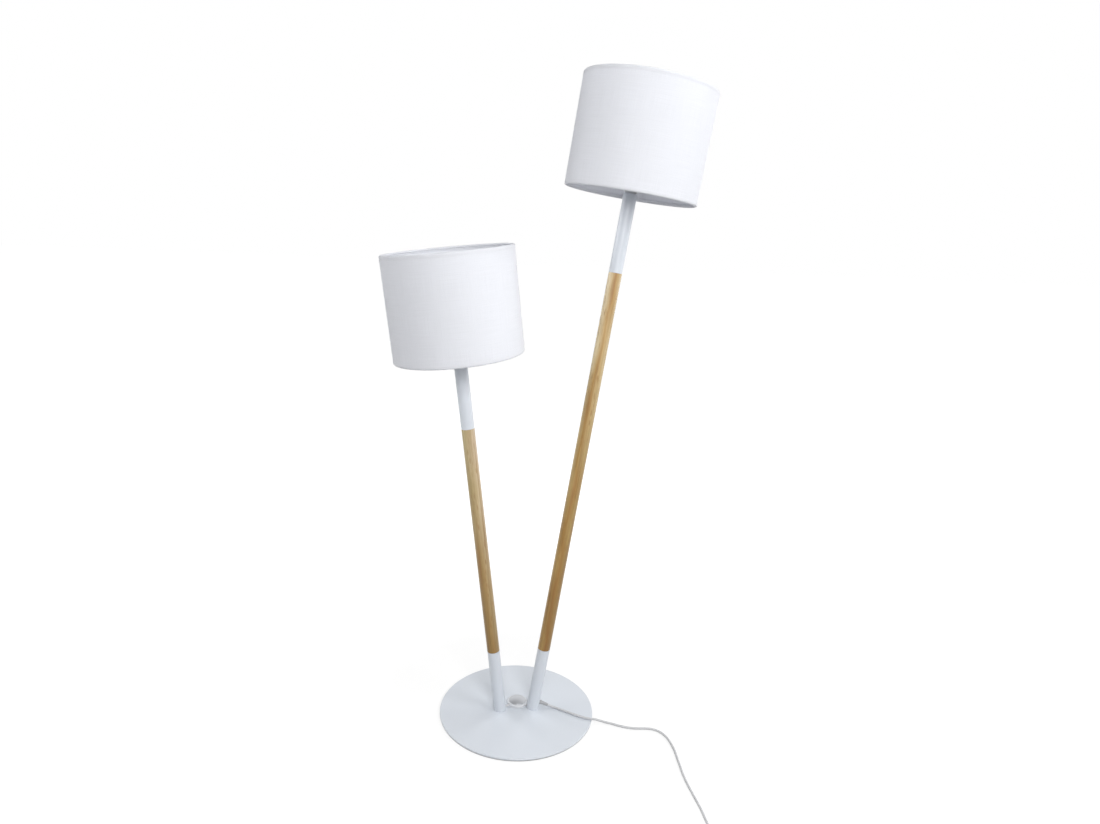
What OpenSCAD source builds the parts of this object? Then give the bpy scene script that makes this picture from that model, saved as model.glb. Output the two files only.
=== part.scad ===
// Two-arm floor lamp: a round steel base carries two straight poles that lean
// apart, a short one and a tall one, each with a coaxial fabric drum shade.
// Millimetres, +Z up, origin at the centre of the base's underside.

/* [Base] */
// Diameter of the steel base plate
base_d = 380; // [340:5:420]
// Thickness of the steel base plate
plate_t = 4; // [4:0.5:8]
// Thickness of the felt pad under the plate
pad_t = 1.5; // [1:0.5:3]
// Distance from the centre of the base to the centre of each foot
foot_x = 41; // [40:1:48]

/* [Poles] */
// Outward lean of both poles, in degrees
lean = 7.4; // [6:0.1:9]
// Outer diameter of the steel tubes and the wooden poles
pole_d = 30; // [29:0.5:32]
// Wall of the steel tubes
tube_wall = 1.3; // [1:0.1:1.5]
// Length of the lower steel tube, from the base to the wood
lower_len = 165; // [150:1:200]
// Length of the wooden pole on the short side
wood_short = 567; // [450:1:650]
// Length of the wooden pole on the tall side
wood_long = 927; // [800:1:1000]
// Bore through the wooden poles for the lead
wood_bore_d = 10; // [9:0.5:11]
// Length of upper steel tube that shows below the shade
upper_len = 165; // [150:1:200]

/* [Shades] */
// Outer diameter of the drum shades
shade_d = 288; // [260:2:320]
// Height of the drum shades
shade_h = 232; // [200:1:260]
// Wall of the laminated fabric
shade_wall = 1; // [0.8:0.1:1.2]
// Diameter of the shade's wire rings
ring_wire_d = 3.4; // [3:0.2:4]
// Height of the fitter ring above the shade's lower edge
fitter_rise = 31; // [28:1:36]

/* [Switch] */
// Outer diameter of the foot switch
switch_d = 50; // [48:1:52]
// Height of the switch's housing
switch_h = 7.5; // [7:0.5:9]
// Distance of the switch to the right of the middle of the base
switch_x = 4; // [0:0.5:4]
// Distance of the switch behind the line of the feet
switch_y = 21.5; // [21.5:0.5:26]
// Travel of the foot button
switch_travel = 2.5; // [1.5:0.5:2.5]

/* [Cords] */
// Diameter of the mains cord
cord_d = 5.4; // [5:0.2:5.6]
// Diameter of the leads between the switch, the terminals and the lampholders
lead_d = 5; // [4.6:0.2:5.2]
// Turns of the coil that holds the rest of the mains cord
coil_turns = 6; // [4:1:6]

/* [Hidden] */
$fn = 96;

LEFT = -1;
RIGHT = 1;
base_top = pad_t + plate_t;
tube_ir = pole_d / 2 - tube_wall;
gap = 0.05;                         // assembly gap between fixed round pieces
hole_gap = 0.3;                     // gap round leads and between moving pieces

// Places along each pole, measured on its axis from the base's top face
function wood_len(side) = side == LEFT ? wood_short : wood_long;
function wood_end(side) = lower_len + wood_len(side);
function shade_s(side) = wood_end(side) + upper_len;
shade_tuck = 5;                     // upper tube above the shade's lower edge
function tube_end(side) = shade_s(side) + shade_tuck;

// Hollow M10 threaded rod and what it screws into
thread_r = 5;
nipple_bore_r = 3.8;
nipple_len = 40;
plug_t = 14;
insert_r = 7;
insert_t = 20;

// Lampholder for a 27 mm screw cap; heights are from the end of the upper tube
holder_cap_h = 21;
holder_cap_r = 18;
skirt_r = 19.6;
skirt_wall = 2;
skirt_h = 36;
flange_r = 23;
flange_t = 2;
shell_r = 13.3;                     // inside of the screw shell, which is the bulb's seat
shell_wall = 0.5;
shell_h = 22;
block_r = 17.3;
block_t = 9;
contact_well_r = 12.5;
contact_well = 4.3;
nut_r = 26;
nut_t = 7;
fitter_t = 1.4;
fitter_z = fitter_rise - shade_tuck;
flange_z = fitter_z - flange_t;
spoke_d = 4;
spokes = 3;
function spider_turn(side) = side == LEFT ? 90 : 76.6;     // of the first spoke, about the pole

// Foot switch, from the base's top face upwards
switch_floor_t = 1.5;
switch_wall = 1.6;
button_r = 20.5;
button_dome = 4.4;                  // rise of the button's crown over its rim
button_wall = 1.6;
button_skirt_z = 4.7;
button_rim_z = 8.1;
lip_t = 1.4;
tab_r = 22.2;
tab_t = 1;
core_w = 14;
core_h = 4;
boss_y = 14.3;
boss_r = 3.4;
boss_h = 3;
lead_z = 2.9;                       // height of the leads over the base's top face

// Line of a lead from the switch's centre to a point inside the foot
function lead_entry(side) = [side * 31.2, 1.6];
function lead_line(side) = lead_entry(side) - [switch_x, switch_y];
function lead_run(side) = norm(lead_line(side));

// Screws: M6 for the feet and M3 for the switch, all countersunk from below
foot_screw_x = foot_x + 5;
foot_block_t = 9.5;

// Terminal block inside the right lower tube
terminal_s = 70;
terminal_len = 22;
terminal_w = 13;
terminal_pitch = 6;

// Gland on the right lower tube, and the axis along which the cord leaves it
gland_at = [58, 0, 20];
gland_pitch = 110;
gland_turn = -10;
gland_tail = 22;
gland_inner = 6;
tail_start = 7;                     // the cord's own start, clear of the gland's inner face
gland_axis = [
    sin(gland_pitch) * cos(gland_turn),
    sin(gland_pitch) * sin(gland_turn),
    cos(gland_pitch)
];

// Route of the mains cord over the base and the floor, chosen by hand
on_plate = base_top + 3;
on_floor = 3;
coil_low = 3.7;
mains_route = [
    [88, -7, 9.5], [98, -12, on_plate], [108, -19, on_plate],
    [118, -26, on_plate], [129, -35, on_plate], [142, -44, on_plate], [155, -53, on_plate],
    [166, -59, on_plate], [177, -63, on_plate], [188, -66, on_plate], [200, -69, 6],
    [213, -73, 3.6], [227, -79, on_floor], [241, -87, on_floor], [255, -94, on_floor],
    [270, -99, on_floor], [284, -102, on_floor], [298, -103, on_floor],
    [313, -105, on_floor], [327, -111, on_floor], [338, -121, on_floor],
    [345, -134, on_floor], [349, -148, on_floor], [351, -163, on_floor],
    [352, -178, on_floor], [352, -193, on_floor], [351, -208, on_floor],
    [350, -223, on_floor], [349, -238, on_floor], [348, -253, on_floor],
    [347, -268, on_floor], [347, -283, on_floor], [347, -298, on_floor],
    [348, -313, on_floor], [349, -328, on_floor], [350, -343, on_floor],
    [351, -358, on_floor], [352, -373, on_floor], [352, -388, on_floor],
    [352, -403, on_floor], [352, -418, on_floor], [352, -433, 3.1],
    [352, -448, 3.4], [352, -462, coil_low]
];
coil_start = [352, -468, coil_low];

// Coil: it winds in on the lower layer, climbs at the middle and winds out again
coil_mid_r = 31;
turn_pitch = cord_d + 0.5;
coil_rings = 24;
climb_turns = 0.5;
layer_turns = coil_turns / 2;
coil_inner_r = coil_mid_r - layer_turns * turn_pitch / 2;
coil_outer_r = coil_mid_r + layer_turns * turn_pitch / 2;
coil_centre = [coil_start[0] + coil_outer_r, coil_start[1] - cord_d, coil_start[2]];
coil_exit = 42;                     // straight end that carries the plug clear of the turns
plug_len = 34;
plug_w = 26;
plug_t_max = 18;
pin_r = 2;
pin_len = 19;
pin_gap = 18.6;

// A point beside a pole: inward is towards the switch, s runs up the pole's axis
function beside(side, inward, y, s) = [
    side * (foot_x - inward * cos(lean) + s * sin(lean)),
    y,
    base_top + s * cos(lean) + inward * sin(lean)
];

// A point on the line along which a lead leaves the switch
function from_switch(side, reach) = [
    switch_x + lead_line(side)[0] * reach / lead_run(side),
    switch_y + lead_line(side)[1] * reach / lead_run(side),
    base_top + lead_z
];

// Routes of the leads inside the poles
function lead_foot(side) = [
    from_switch(side, 21.8), from_switch(side, 25), from_switch(side, lead_run(side) - 3),
    from_switch(side, lead_run(side)), beside(side, 7.4, 0.6, 6.4),
    beside(side, 7, 0.2, 9), beside(side, 7, 0, 14)
];
lead_left_route = concat(
    lead_foot(LEFT),
    [beside(LEFT, 7, 0, 24), beside(LEFT, 4, 0, 50), beside(LEFT, 1, 0, 80),
     beside(LEFT, 0, 0, 110), beside(LEFT, 0, 0, tube_end(LEFT) + 10)]
);
switch_link_route = concat(
    lead_foot(RIGHT),
    [beside(RIGHT, 7, 0, 24), beside(RIGHT, 5, 0, 42),
     beside(RIGHT, terminal_pitch / 2, 0, 60), beside(RIGHT, terminal_pitch / 2, 0, terminal_s)]
);
mains_tail_route = [
    gland_at - gland_axis * tail_start, beside(RIGHT, -4.6, 0.8, 20), beside(RIGHT, -3.2, 0, 27),
    beside(RIGHT, -terminal_pitch / 2, 0, 40), beside(RIGHT, -terminal_pitch / 2, 0, terminal_s)
];
lead_right_route = [
    beside(RIGHT, 0, 0, terminal_s + terminal_len),
    beside(RIGHT, 0, 0, tube_end(RIGHT) + 10)
];
gland_end = gland_at + gland_axis * gland_tail;
mains_cord_route = concat(
    [gland_end, gland_end + gland_axis * cord_d],
    mains_route,
    [coil_start]
);

// Swept tube: rings square to the route, joined by triangles
function unit(v) = v / norm(v);
function heading(path, i) = unit(
    path[min(i + 1, len(path) - 1)] - path[max(i - 1, 0)]
);
function ring_at(path, i, r, sides, side_dir) =
    let (t = heading(path, i), a = unit(cross(t, side_dir)), b = cross(a, t))
    [for (k = [0:sides - 1])
        path[i] + r * (cos(360 * k / sides) * a + sin(360 * k / sides) * b)];
function sweep_points(path, r, sides, side_dir) =
    [for (i = [0:len(path) - 1]) each ring_at(path, i, r, sides, side_dir)];
function sweep_skin(rings, sides) =
    [for (i = [0:rings - 2], k = [0:sides - 1], half = [0, 1])
        let (a = i * sides + k, b = i * sides + (k + 1) % sides)
        half == 0 ? [a, a + sides, b] : [b, a + sides, b + sides]];
function sweep_caps(rings, sides) = concat(
    [for (k = [1:sides - 2]) [0, k, k + 1]],
    [for (k = [1:sides - 2])
        [(rings - 1) * sides, (rings - 1) * sides + k + 1, (rings - 1) * sides + k]]
);

module swept(path, r, sides, side_dir = [0, 0, 1]) {
    polyhedron(
        points = sweep_points(path, r, sides, side_dir),
        faces = concat(sweep_skin(len(path), sides), sweep_caps(len(path), sides))
    );
}

// Centre line of the coil; turn counts from its start on the lower layer
function coil_r(turn) = coil_inner_r + abs(turn - layer_turns) * turn_pitch;
function coil_rise(turn) =
    turn_pitch * min(1, max(0, (turn - layer_turns) / climb_turns + 0.5));
function coil_point(turn) =
    coil_centre + [
        -coil_r(turn) * cos(360 * turn),
        -coil_r(turn) * sin(360 * turn),
        coil_rise(turn)
    ];
coil_line = concat(
    [coil_start],
    [for (i = [0:coil_turns * coil_rings]) coil_point(i / coil_rings)],
    [coil_point(coil_turns) + [0, -coil_exit, 0]]
);
plug_at = coil_point(coil_turns) + [0, -coil_exit, 0];
function path_length(path) =
    len(path) < 2 ? 0 : [for (i = 1, sum = norm(path[1] - path[0]); i < len(path);
        i = i + 1, sum = sum + (i < len(path) ? norm(path[i] - path[i - 1]) : 0)) sum]
        [len(path) - 2];
coil_self_gap = min([
    for (i = [0:len(coil_line) - 1], j = [i + coil_rings / 2:len(coil_line) - 1])
        norm(coil_line[i] - coil_line[j])
]) - cord_d;
echo(coil_self_gap = coil_self_gap);
echo(
    free_cord = path_length(mains_cord_route),
    coiled = path_length(coil_line),
    whole = path_length(mains_cord_route) + path_length(coil_line) + gland_tail
);

// Placing helpers
module arm(side) {
    translate([side * foot_x, 0, base_top])
        rotate([0, side * lean, 0])
            children();
}

module above_plate() {
    intersection() {
        children();
        translate([-base_d / 2, -base_d / 2, base_top])
            cube([base_d, base_d, 2000]);
    }
}

// Channel along which a lead runs from the switch into a foot
module lead_channel(side, r, from, to) {
    translate(from_switch(side, from))
        rotate([0, 90, atan2(lead_line(side)[1], lead_line(side)[0])])
            cylinder(r = r, h = to - from, $fn = 48);
}

module pipe(r_out, r_in, h) {
    difference() {
        cylinder(r = r_out, h = h);
        translate([0, 0, -1])
            cylinder(r = r_in, h = h + 2);
    }
}

// Countersunk screw standing on its head, with a hexagon socket in the head
module countersunk_screw(head_r, head_h, shank_r, length, socket_r) {
    difference() {
        union() {
            cylinder(r1 = head_r, r2 = shank_r, h = head_h);
            cylinder(r = shank_r, h = length);
        }
        translate([0, 0, -1])
            cylinder(r = socket_r, h = 1 + head_h * 0.7, $fn = 6);
    }
}

module countersink(head_r, head_h, hole_r) {
    translate([0, 0, -0.01])
        cylinder(r1 = head_r, r2 = hole_r, h = head_h);
    translate([0, 0, -1])
        cylinder(r = hole_r, h = plate_t + 2);
}

module foot_screw_places() {
    for (side = [LEFT, RIGHT])
        translate([side * foot_screw_x, 0, pad_t])
            children();
}

module switch_screw_places() {
    for (back = [-1, 1])
        translate([switch_x, switch_y + back * boss_y, pad_t])
            children();
}

// Base
module base_pad() {
    color([0.16, 0.16, 0.17])
    difference() {
        cylinder(d = base_d - 10, h = pad_t);
        foot_screw_places()
            translate([0, 0, -5]) cylinder(r = 9, h = 10);
        switch_screw_places()
            translate([0, 0, -5]) cylinder(r = 5, h = 10);
    }
}

module base_plate() {
    bevel = 0.8;
    color([0.95, 0.95, 0.96])
    difference() {
        translate([0, 0, pad_t])
            rotate_extrude($fn = 180)
                polygon([
                    [0, 0], [base_d / 2 - bevel / 2, 0], [base_d / 2, bevel / 2],
                    [base_d / 2, plate_t - bevel], [base_d / 2 - bevel, plate_t], [0, plate_t]
                ]);
        foot_screw_places() countersink(6.3, 3.2, 3.3);
        switch_screw_places() countersink(3.3, 1.8, 1.7);
    }
}

module foot_screws() {
    color([0.7, 0.7, 0.72])
    foot_screw_places()
        translate([0, 0, 0.15]) countersunk_screw(6, 3, 2.95, 12, 2.2);
}

module foot_block(side) {
    color([0.6, 0.6, 0.62])
    above_plate()
        difference() {
            arm(side)
                intersection() {
                    translate([0, 0, -5]) cylinder(r = tube_ir - gap, h = foot_block_t + 5);
                    translate([side > 0 ? -1.5 : -18.5, -20, -10]) cube([20, 40, 40]);
                }
            translate([side * foot_screw_x, 0, base_top - 5]) cylinder(r = 3, h = 30);
        }
}

// Poles
module lower_tube(side) {
    color([0.95, 0.95, 0.96])
    difference() {
        above_plate()
            arm(side)
                translate([0, 0, -5])
                    pipe(pole_d / 2, tube_ir, lower_len + 5);
        lead_channel(side, lead_d / 2 + hole_gap, lead_run(side) - 11, lead_run(side) + 5);
        if (side == RIGHT)
            translate(gland_at - gland_axis * 8)
                rotate([0, gland_pitch, gland_turn]) cylinder(r = 4.5, h = 16, $fn = 48);
    }
}

module wood_pole(side) {
    bevel = 0.8;
    r = pole_d / 2;
    len_w = wood_len(side);
    color([0.79, 0.64, 0.44])
    arm(side)
        translate([0, 0, lower_len])
            difference() {
                rotate_extrude()
                    polygon([
                        [0, 0], [r - bevel, 0], [r, bevel],
                        [r, len_w - bevel], [r - bevel, len_w], [0, len_w]
                    ]);
                translate([0, 0, -1]) cylinder(d = wood_bore_d, h = len_w + 2);
                translate([0, 0, -1]) cylinder(r = insert_r, h = insert_t + 1);
                translate([0, 0, len_w - insert_t]) cylinder(r = insert_r, h = insert_t + 1);
            }
}

module upper_tube(side) {
    color([0.95, 0.95, 0.96])
    arm(side)
        translate([0, 0, wood_end(side)])
            pipe(pole_d / 2, tube_ir, upper_len + shade_tuck);
}

module tube_plug() {
    pipe(tube_ir - gap, thread_r + gap, plug_t);
}

module tube_plugs() {
    color([0.6, 0.6, 0.62])
    for (side = [LEFT, RIGHT])
        arm(side) {
            translate([0, 0, lower_len - plug_t]) tube_plug();
            translate([0, 0, wood_end(side)]) tube_plug();
            translate([0, 0, tube_end(side) - plug_t]) tube_plug();
        }
}

module joint_nipples() {
    color([0.75, 0.75, 0.77])
    for (side = [LEFT, RIGHT], s = [lower_len, wood_end(side)])
        arm(side)
            translate([0, 0, s - nipple_len / 2]) pipe(thread_r, nipple_bore_r, nipple_len);
}

module wood_inserts() {
    color([0.8, 0.66, 0.35])
    for (side = [LEFT, RIGHT], s = [lower_len, wood_end(side) - insert_t])
        arm(side)
            translate([0, 0, s]) pipe(insert_r - gap, thread_r + gap, insert_t);
}

// Lampholders
module holder_nipples() {
    color([0.75, 0.75, 0.77])
    for (side = [LEFT, RIGHT])
        arm(side)
            translate([0, 0, tube_end(side) - plug_t + 2])
                pipe(thread_r, nipple_bore_r, plug_t + 6);
}

module at_holder(side) {
    arm(side)
        translate([0, 0, tube_end(side)])
            children();
}

module holder_cap(side) {
    neck_r = 11;
    wall = 2;
    color([0.93, 0.93, 0.92])
    at_holder(side)
        rotate_extrude()
            polygon([
                [thread_r + gap, 0], [neck_r, 0], [neck_r + 2, 2], [holder_cap_r, 9],
                [holder_cap_r, holder_cap_h], [holder_cap_r - wall, holder_cap_h],
                [holder_cap_r - wall, 10], [neck_r, 4.5], [thread_r + gap, 4.5]
            ]);
}

module holder_skirt(side) {
    color([0.93, 0.93, 0.92])
    at_holder(side)
        rotate_extrude()
            polygon([
                [skirt_r - skirt_wall, holder_cap_h], [skirt_r, holder_cap_h],
                [skirt_r, flange_z], [flange_r, flange_z], [flange_r, fitter_z],
                [skirt_r, fitter_z], [skirt_r, holder_cap_h + skirt_h],
                [skirt_r - skirt_wall, holder_cap_h + skirt_h]
            ]);
}

module contact_block(side) {
    color([0.9, 0.89, 0.85])
    at_holder(side)
        translate([0, 0, holder_cap_h + gap])
            difference() {
                cylinder(r = block_r, h = block_t);
                translate([0, 0, block_t - contact_well]) cylinder(r = contact_well_r, h = 10);
            }
}

module bulb_shell(side) {
    color([0.82, 0.68, 0.36])
    at_holder(side)
        translate([0, 0, holder_cap_h + block_t + 2 * gap])
            pipe(shell_r + shell_wall, shell_r, shell_h);
}

module centre_contacts() {
    color([0.82, 0.68, 0.36])
    for (side = [LEFT, RIGHT])
        at_holder(side)
            translate([0, 0, holder_cap_h + block_t - contact_well + 2 * gap])
                rotate([90, 0, 0])
                    translate([0, 0, -2])
                        linear_extrude(4)
                            polygon([
                                [-8, 0], [-3, 0], [4, 3.2], [4.4, 3.8], [3.8, 3.8], [-3.2, 0.6], [-8, 0.6]
                            ]);
}

// Shades
module shade_ring(z) {
    translate([0, 0, z])
        rotate_extrude()
            translate([shade_d / 2 - shade_wall - ring_wire_d / 2 - 2 * gap, 0])
                circle(d = ring_wire_d, $fn = 24);
}

module at_shade(side) {
    arm(side)
        translate([0, 0, shade_s(side)])
            children();
}

// Fitter ring, three sloping spokes and the lower wire ring, welded together
module shade_frame(side) {
    hub_r = 30;
    rim_r = shade_d / 2 - shade_wall - ring_wire_d / 2 - 2 * gap;
    rim_z = ring_wire_d / 2 + 1;
    drop = fitter_rise + fitter_t / 2 - rim_z;
    run = rim_r - hub_r + 3;
    color([0.92, 0.92, 0.93])
    at_shade(side) {
        shade_ring(rim_z);
        translate([0, 0, fitter_rise + gap]) pipe(hub_r, skirt_r + 0.6, fitter_t);
        for (k = [0:spokes - 1])
            rotate([0, 0, spider_turn(side) + 360 * k / spokes])
                translate([hub_r - 3, 0, fitter_rise + fitter_t / 2])
                    rotate([0, 90 + atan2(drop, run), 0])
                        cylinder(d = spoke_d, h = norm([drop, run]), $fn = 24);
    }
}

module shade_nut(side) {
    ribs = 24;
    color([0.93, 0.93, 0.92])
    at_shade(side)
        translate([0, 0, fitter_rise + fitter_t + 2 * gap])
            difference() {
                cylinder(r = nut_r, h = nut_t);
                translate([0, 0, -1]) cylinder(r = skirt_r + 0.1, h = nut_t + 2);
                for (k = [0:ribs - 1])
                    rotate([0, 0, 360 * k / ribs])
                        translate([nut_r + 0.6, 0, 1]) cylinder(r = 1.4, h = nut_t, $fn = 16);
            }
}

module shade_top_ring(side) {
    color([0.92, 0.92, 0.93])
    at_shade(side)
        shade_ring(shade_h - ring_wire_d / 2 - 1);
}

module shade_drum(side) {
    color([0.97, 0.96, 0.93])
    at_shade(side)
        pipe(shade_d / 2, shade_d / 2 - shade_wall, shade_h, $fn = 180);
}

// Foot switch
module at_switch() {
    translate([switch_x, switch_y, base_top])
        children();
}

module switch_base() {
    color([0.95, 0.95, 0.96])
    difference() {
        at_switch() {
            cylinder(r = switch_d / 2 - switch_wall - 0.1, h = switch_floor_t);
            for (back = [-1, 1])
                translate([0, back * boss_y, 0]) cylinder(r = boss_r, h = switch_floor_t + boss_h);
        }
        switch_screw_places() cylinder(r = 1.5, h = plate_t + switch_floor_t + boss_h + 1);
        for (side = [LEFT, RIGHT])
            lead_channel(side, lead_d / 2 + hole_gap, 21, 30);
    }
}

module switch_cover() {
    r = switch_d / 2;
    color([0.95, 0.95, 0.96])
    difference() {
        at_switch()
            rotate_extrude()
                polygon([
                    [r, 0], [r, switch_h - 3], [r - 0.8, switch_h - 1.2], [r - 2, switch_h - 0.3],
                    [r - 3, switch_h], [button_r + hole_gap, switch_h],
                    [button_r + hole_gap, switch_h - lip_t], [r - switch_wall, switch_h - lip_t],
                    [r - switch_wall, 0]
                ]);
        for (side = [LEFT, RIGHT])
            lead_channel(side, lead_d / 2 + hole_gap, 21, 30);
    }
}

// Crown of the foot button, as points from the rim to the middle
function crown(r, z_top, dome, steps) =
    let (ball = (r * r + dome * dome) / (2 * dome))
    [for (i = [0:steps])
        let (x = r * (1 - i / steps))
        [x, z_top - ball + sqrt(ball * ball - x * x)]];

module switch_button() {
    top = button_rim_z + button_dome;
    outer = crown(button_r - 0.5, top, button_dome, 10);
    inner = crown(button_r - button_wall, top - button_wall, button_dome, 10);
    turned = [for (i = [0:10]) inner[10 - i]];
    color([0.62, 0.62, 0.64])
    at_switch() {
        rotate_extrude()
            polygon(concat(
                [[button_r - button_wall, button_skirt_z], [button_r, button_skirt_z],
                 [button_r, button_rim_z - 0.5]],
                outer, turned
            ));
        translate([0, 0, core_h + switch_floor_t + switch_travel + 0.4])
            cylinder(r = 3, h = 4);
        for (front = [0, 180])
            rotate([0, 0, front])
                intersection() {
                    translate([0, 0, button_skirt_z]) pipe(tab_r, button_r - 0.8, tab_t);
                    translate([-5, 0, 0]) cube([10, 30, 10]);
                }
    }
}

module switch_core() {
    color([0.15, 0.15, 0.16])
    at_switch()
        translate([-core_w / 2, -core_w / 2, switch_floor_t])
            cube([core_w, core_w, core_h]);
}

module switch_spring() {
    wire_r = 0.35;
    mid_r = 4.4;
    turns = 3;
    low = switch_floor_t + core_h + wire_r;
    high = button_rim_z + button_dome - button_wall - wire_r - 0.5;
    line = [for (i = [0:turns * 16])
        [mid_r * cos(22.5 * i), mid_r * sin(22.5 * i), low + (high - low) * i / (turns * 16)]];
    color([0.7, 0.7, 0.72])
    at_switch() swept(line, wire_r, 6);
}

module switch_screws() {
    color([0.7, 0.7, 0.72])
    switch_screw_places()
        translate([0, 0, 0.15]) countersunk_screw(3, 1.6, 1.45, 8, 1);
}

// Wiring
module terminal_block() {
    color([0.9, 0.9, 0.88])
    arm(RIGHT)
        translate([-terminal_w / 2, -terminal_w / 2, terminal_s + gap])
            cube([terminal_w, terminal_w, terminal_len - 2 * gap]);
}

module lead_left() {
    color([0.93, 0.93, 0.92]) swept(lead_left_route, lead_d / 2, 10, [0, 1, 0]);
}

module lead_right() {
    color([0.93, 0.93, 0.92]) swept(lead_right_route, lead_d / 2, 10, [0, 1, 0]);
}

module switch_link() {
    color([0.93, 0.93, 0.92]) swept(switch_link_route, lead_d / 2, 10, [0, 1, 0]);
}

module mains_tail() {
    color([0.93, 0.93, 0.92]) swept(mains_tail_route, cord_d / 2, 10, [0, 1, 0]);
}

// Moulded strain relief: a flange outside the tube and a tapered tail
module cord_gland() {
    color([0.93, 0.93, 0.92])
    translate(gland_at - gland_axis * gland_inner)
        rotate([0, gland_pitch, gland_turn])
            rotate_extrude($fn = 48)
                polygon([
                    [0, 0], [4.2, 0], [4.2, gland_inner + 1.8], [5.6, gland_inner + 1.8],
                    [5.6, gland_inner + 3.2], [4.6, gland_inner + 3.6],
                    [3.3, gland_inner + gland_tail], [0, gland_inner + gland_tail]
                ]);
}

module mains_cord() {
    color([0.93, 0.93, 0.92]) swept(mains_cord_route, cord_d / 2, 10);
}

module cord_coil() {
    color([0.93, 0.93, 0.92]) swept(coil_line, cord_d / 2, 6);
}

// Strap round all the turns on the far side of the coil
module cord_tie() {
    wall = 0.6;
    bundle_w = coil_outer_r - coil_inner_r + cord_d + 1.2;
    bundle_h = turn_pitch + cord_d + 0.4;
    color([0.2, 0.2, 0.21])
    translate(coil_centre + [coil_mid_r, -4, turn_pitch / 2])
        rotate([-90, 0, 0])
            linear_extrude(8)
                difference() {
                    square([bundle_w + 2 * wall, bundle_h + 2 * wall], center = true);
                    square([bundle_w, bundle_h], center = true);
                }
}

module plug_body() {
    color([0.93, 0.93, 0.92])
    translate(plug_at)
        rotate([90, 0, 0]) {
            cylinder(r1 = 3.6, r2 = 5.5, h = 14, $fn = 48);
            translate([0, 0, 13])
                linear_extrude(plug_len - 13)
                    intersection() {
                        circle(d = plug_w + 4, $fn = 64);
                        square([plug_w + 4, plug_t_max], center = true);
                    }
        }
}

module plug_pins() {
    color([0.75, 0.75, 0.77])
    translate(plug_at)
        for (x = [-pin_gap / 2, pin_gap / 2])
            translate([x, -plug_len, 0])
                rotate([90, 0, 0]) {
                    cylinder(r = pin_r, h = pin_len - 1, $fn = 32);
                    translate([0, 0, pin_len - 1]) cylinder(r1 = pin_r, r2 = 1.2, h = 1, $fn = 32);
                }
}

base_pad();
base_plate();
foot_screws();
foot_block(LEFT);  // foot_block_left
foot_block(RIGHT);  // foot_block_right
lower_tube(LEFT);  // lower_tube_left
lower_tube(RIGHT);  // lower_tube_right
wood_pole(LEFT);  // wood_pole_left
wood_pole(RIGHT);  // wood_pole_right
upper_tube(LEFT);  // upper_tube_left
upper_tube(RIGHT);  // upper_tube_right
tube_plugs();
joint_nipples();
wood_inserts();
holder_nipples();
holder_cap(LEFT);  // holder_cap_left
holder_cap(RIGHT);  // holder_cap_right
holder_skirt(LEFT);  // holder_skirt_left
holder_skirt(RIGHT);  // holder_skirt_right
contact_block(LEFT);  // contact_block_left
contact_block(RIGHT);  // contact_block_right
bulb_shell(LEFT);  // bulb_shell_left
bulb_shell(RIGHT);  // bulb_shell_right
centre_contacts();
shade_frame(LEFT);  // shade_frame_left
shade_frame(RIGHT);  // shade_frame_right
shade_nut(LEFT);  // shade_nut_left
shade_nut(RIGHT);  // shade_nut_right
shade_top_ring(LEFT);  // shade_top_ring_left
shade_top_ring(RIGHT);  // shade_top_ring_right
shade_drum(LEFT);  // shade_drum_left
shade_drum(RIGHT);  // shade_drum_right
switch_base();
switch_core();
switch_spring();
switch_button();
switch_cover();
switch_screws();
terminal_block();
lead_left();
lead_right();
switch_link();
mains_tail();
cord_gland();
mains_cord();
cord_coil();
cord_tie();
plug_body();
plug_pins();
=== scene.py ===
# %% [markdown]
# # A two-arm floor lamp
# The lamp is a round steel base with two poles that lean apart. Each pole is
# white tube, wood and white tube again, and carries a fabric drum shade.
# The tubes, poles, lampholders and screws come in as finished solids, and this
# script gives them their finish. It makes the shades, the button and its
# spring, the cord, the plug and the small threads itself, because those need
# softer or finer forms.

# %% Load the solids
import math

import bmesh
import bpy
from mathutils import Matrix, Vector


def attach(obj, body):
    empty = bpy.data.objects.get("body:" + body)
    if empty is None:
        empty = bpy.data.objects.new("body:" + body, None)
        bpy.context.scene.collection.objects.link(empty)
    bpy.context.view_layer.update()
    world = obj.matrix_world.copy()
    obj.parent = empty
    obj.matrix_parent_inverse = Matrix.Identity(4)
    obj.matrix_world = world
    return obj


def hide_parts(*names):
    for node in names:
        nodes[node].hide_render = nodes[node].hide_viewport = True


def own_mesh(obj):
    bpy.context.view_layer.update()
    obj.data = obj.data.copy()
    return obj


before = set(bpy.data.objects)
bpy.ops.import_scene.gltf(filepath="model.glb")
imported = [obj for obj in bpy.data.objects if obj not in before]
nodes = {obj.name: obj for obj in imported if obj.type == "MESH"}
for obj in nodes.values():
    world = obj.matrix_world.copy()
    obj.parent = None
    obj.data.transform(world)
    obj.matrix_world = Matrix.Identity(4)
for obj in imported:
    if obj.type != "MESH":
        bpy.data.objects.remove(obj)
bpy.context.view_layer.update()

# %% [markdown]
# The solids say where everything is. A few of their sizes are repeated here,
# in metres, so that the softer pieces can be worked out from them. A shade's
# and a pole's own pieces are made upright at the origin, and one matrix then
# puts them on their leaning pole.

# %% Sizes of the lamp
MM = 0.001
LEAN = math.radians(7.4)
FOOT_X = 41 * MM
BASE_TOP = 5.5 * MM
SIDES = {"left": -1, "right": 1}
# from a foot to a shade's lower edge, along the pole
SHADE_S = {"left": 897 * MM, "right": 1257 * MM}
SHADE_R = 144 * MM
SHADE_H = 232 * MM
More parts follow.
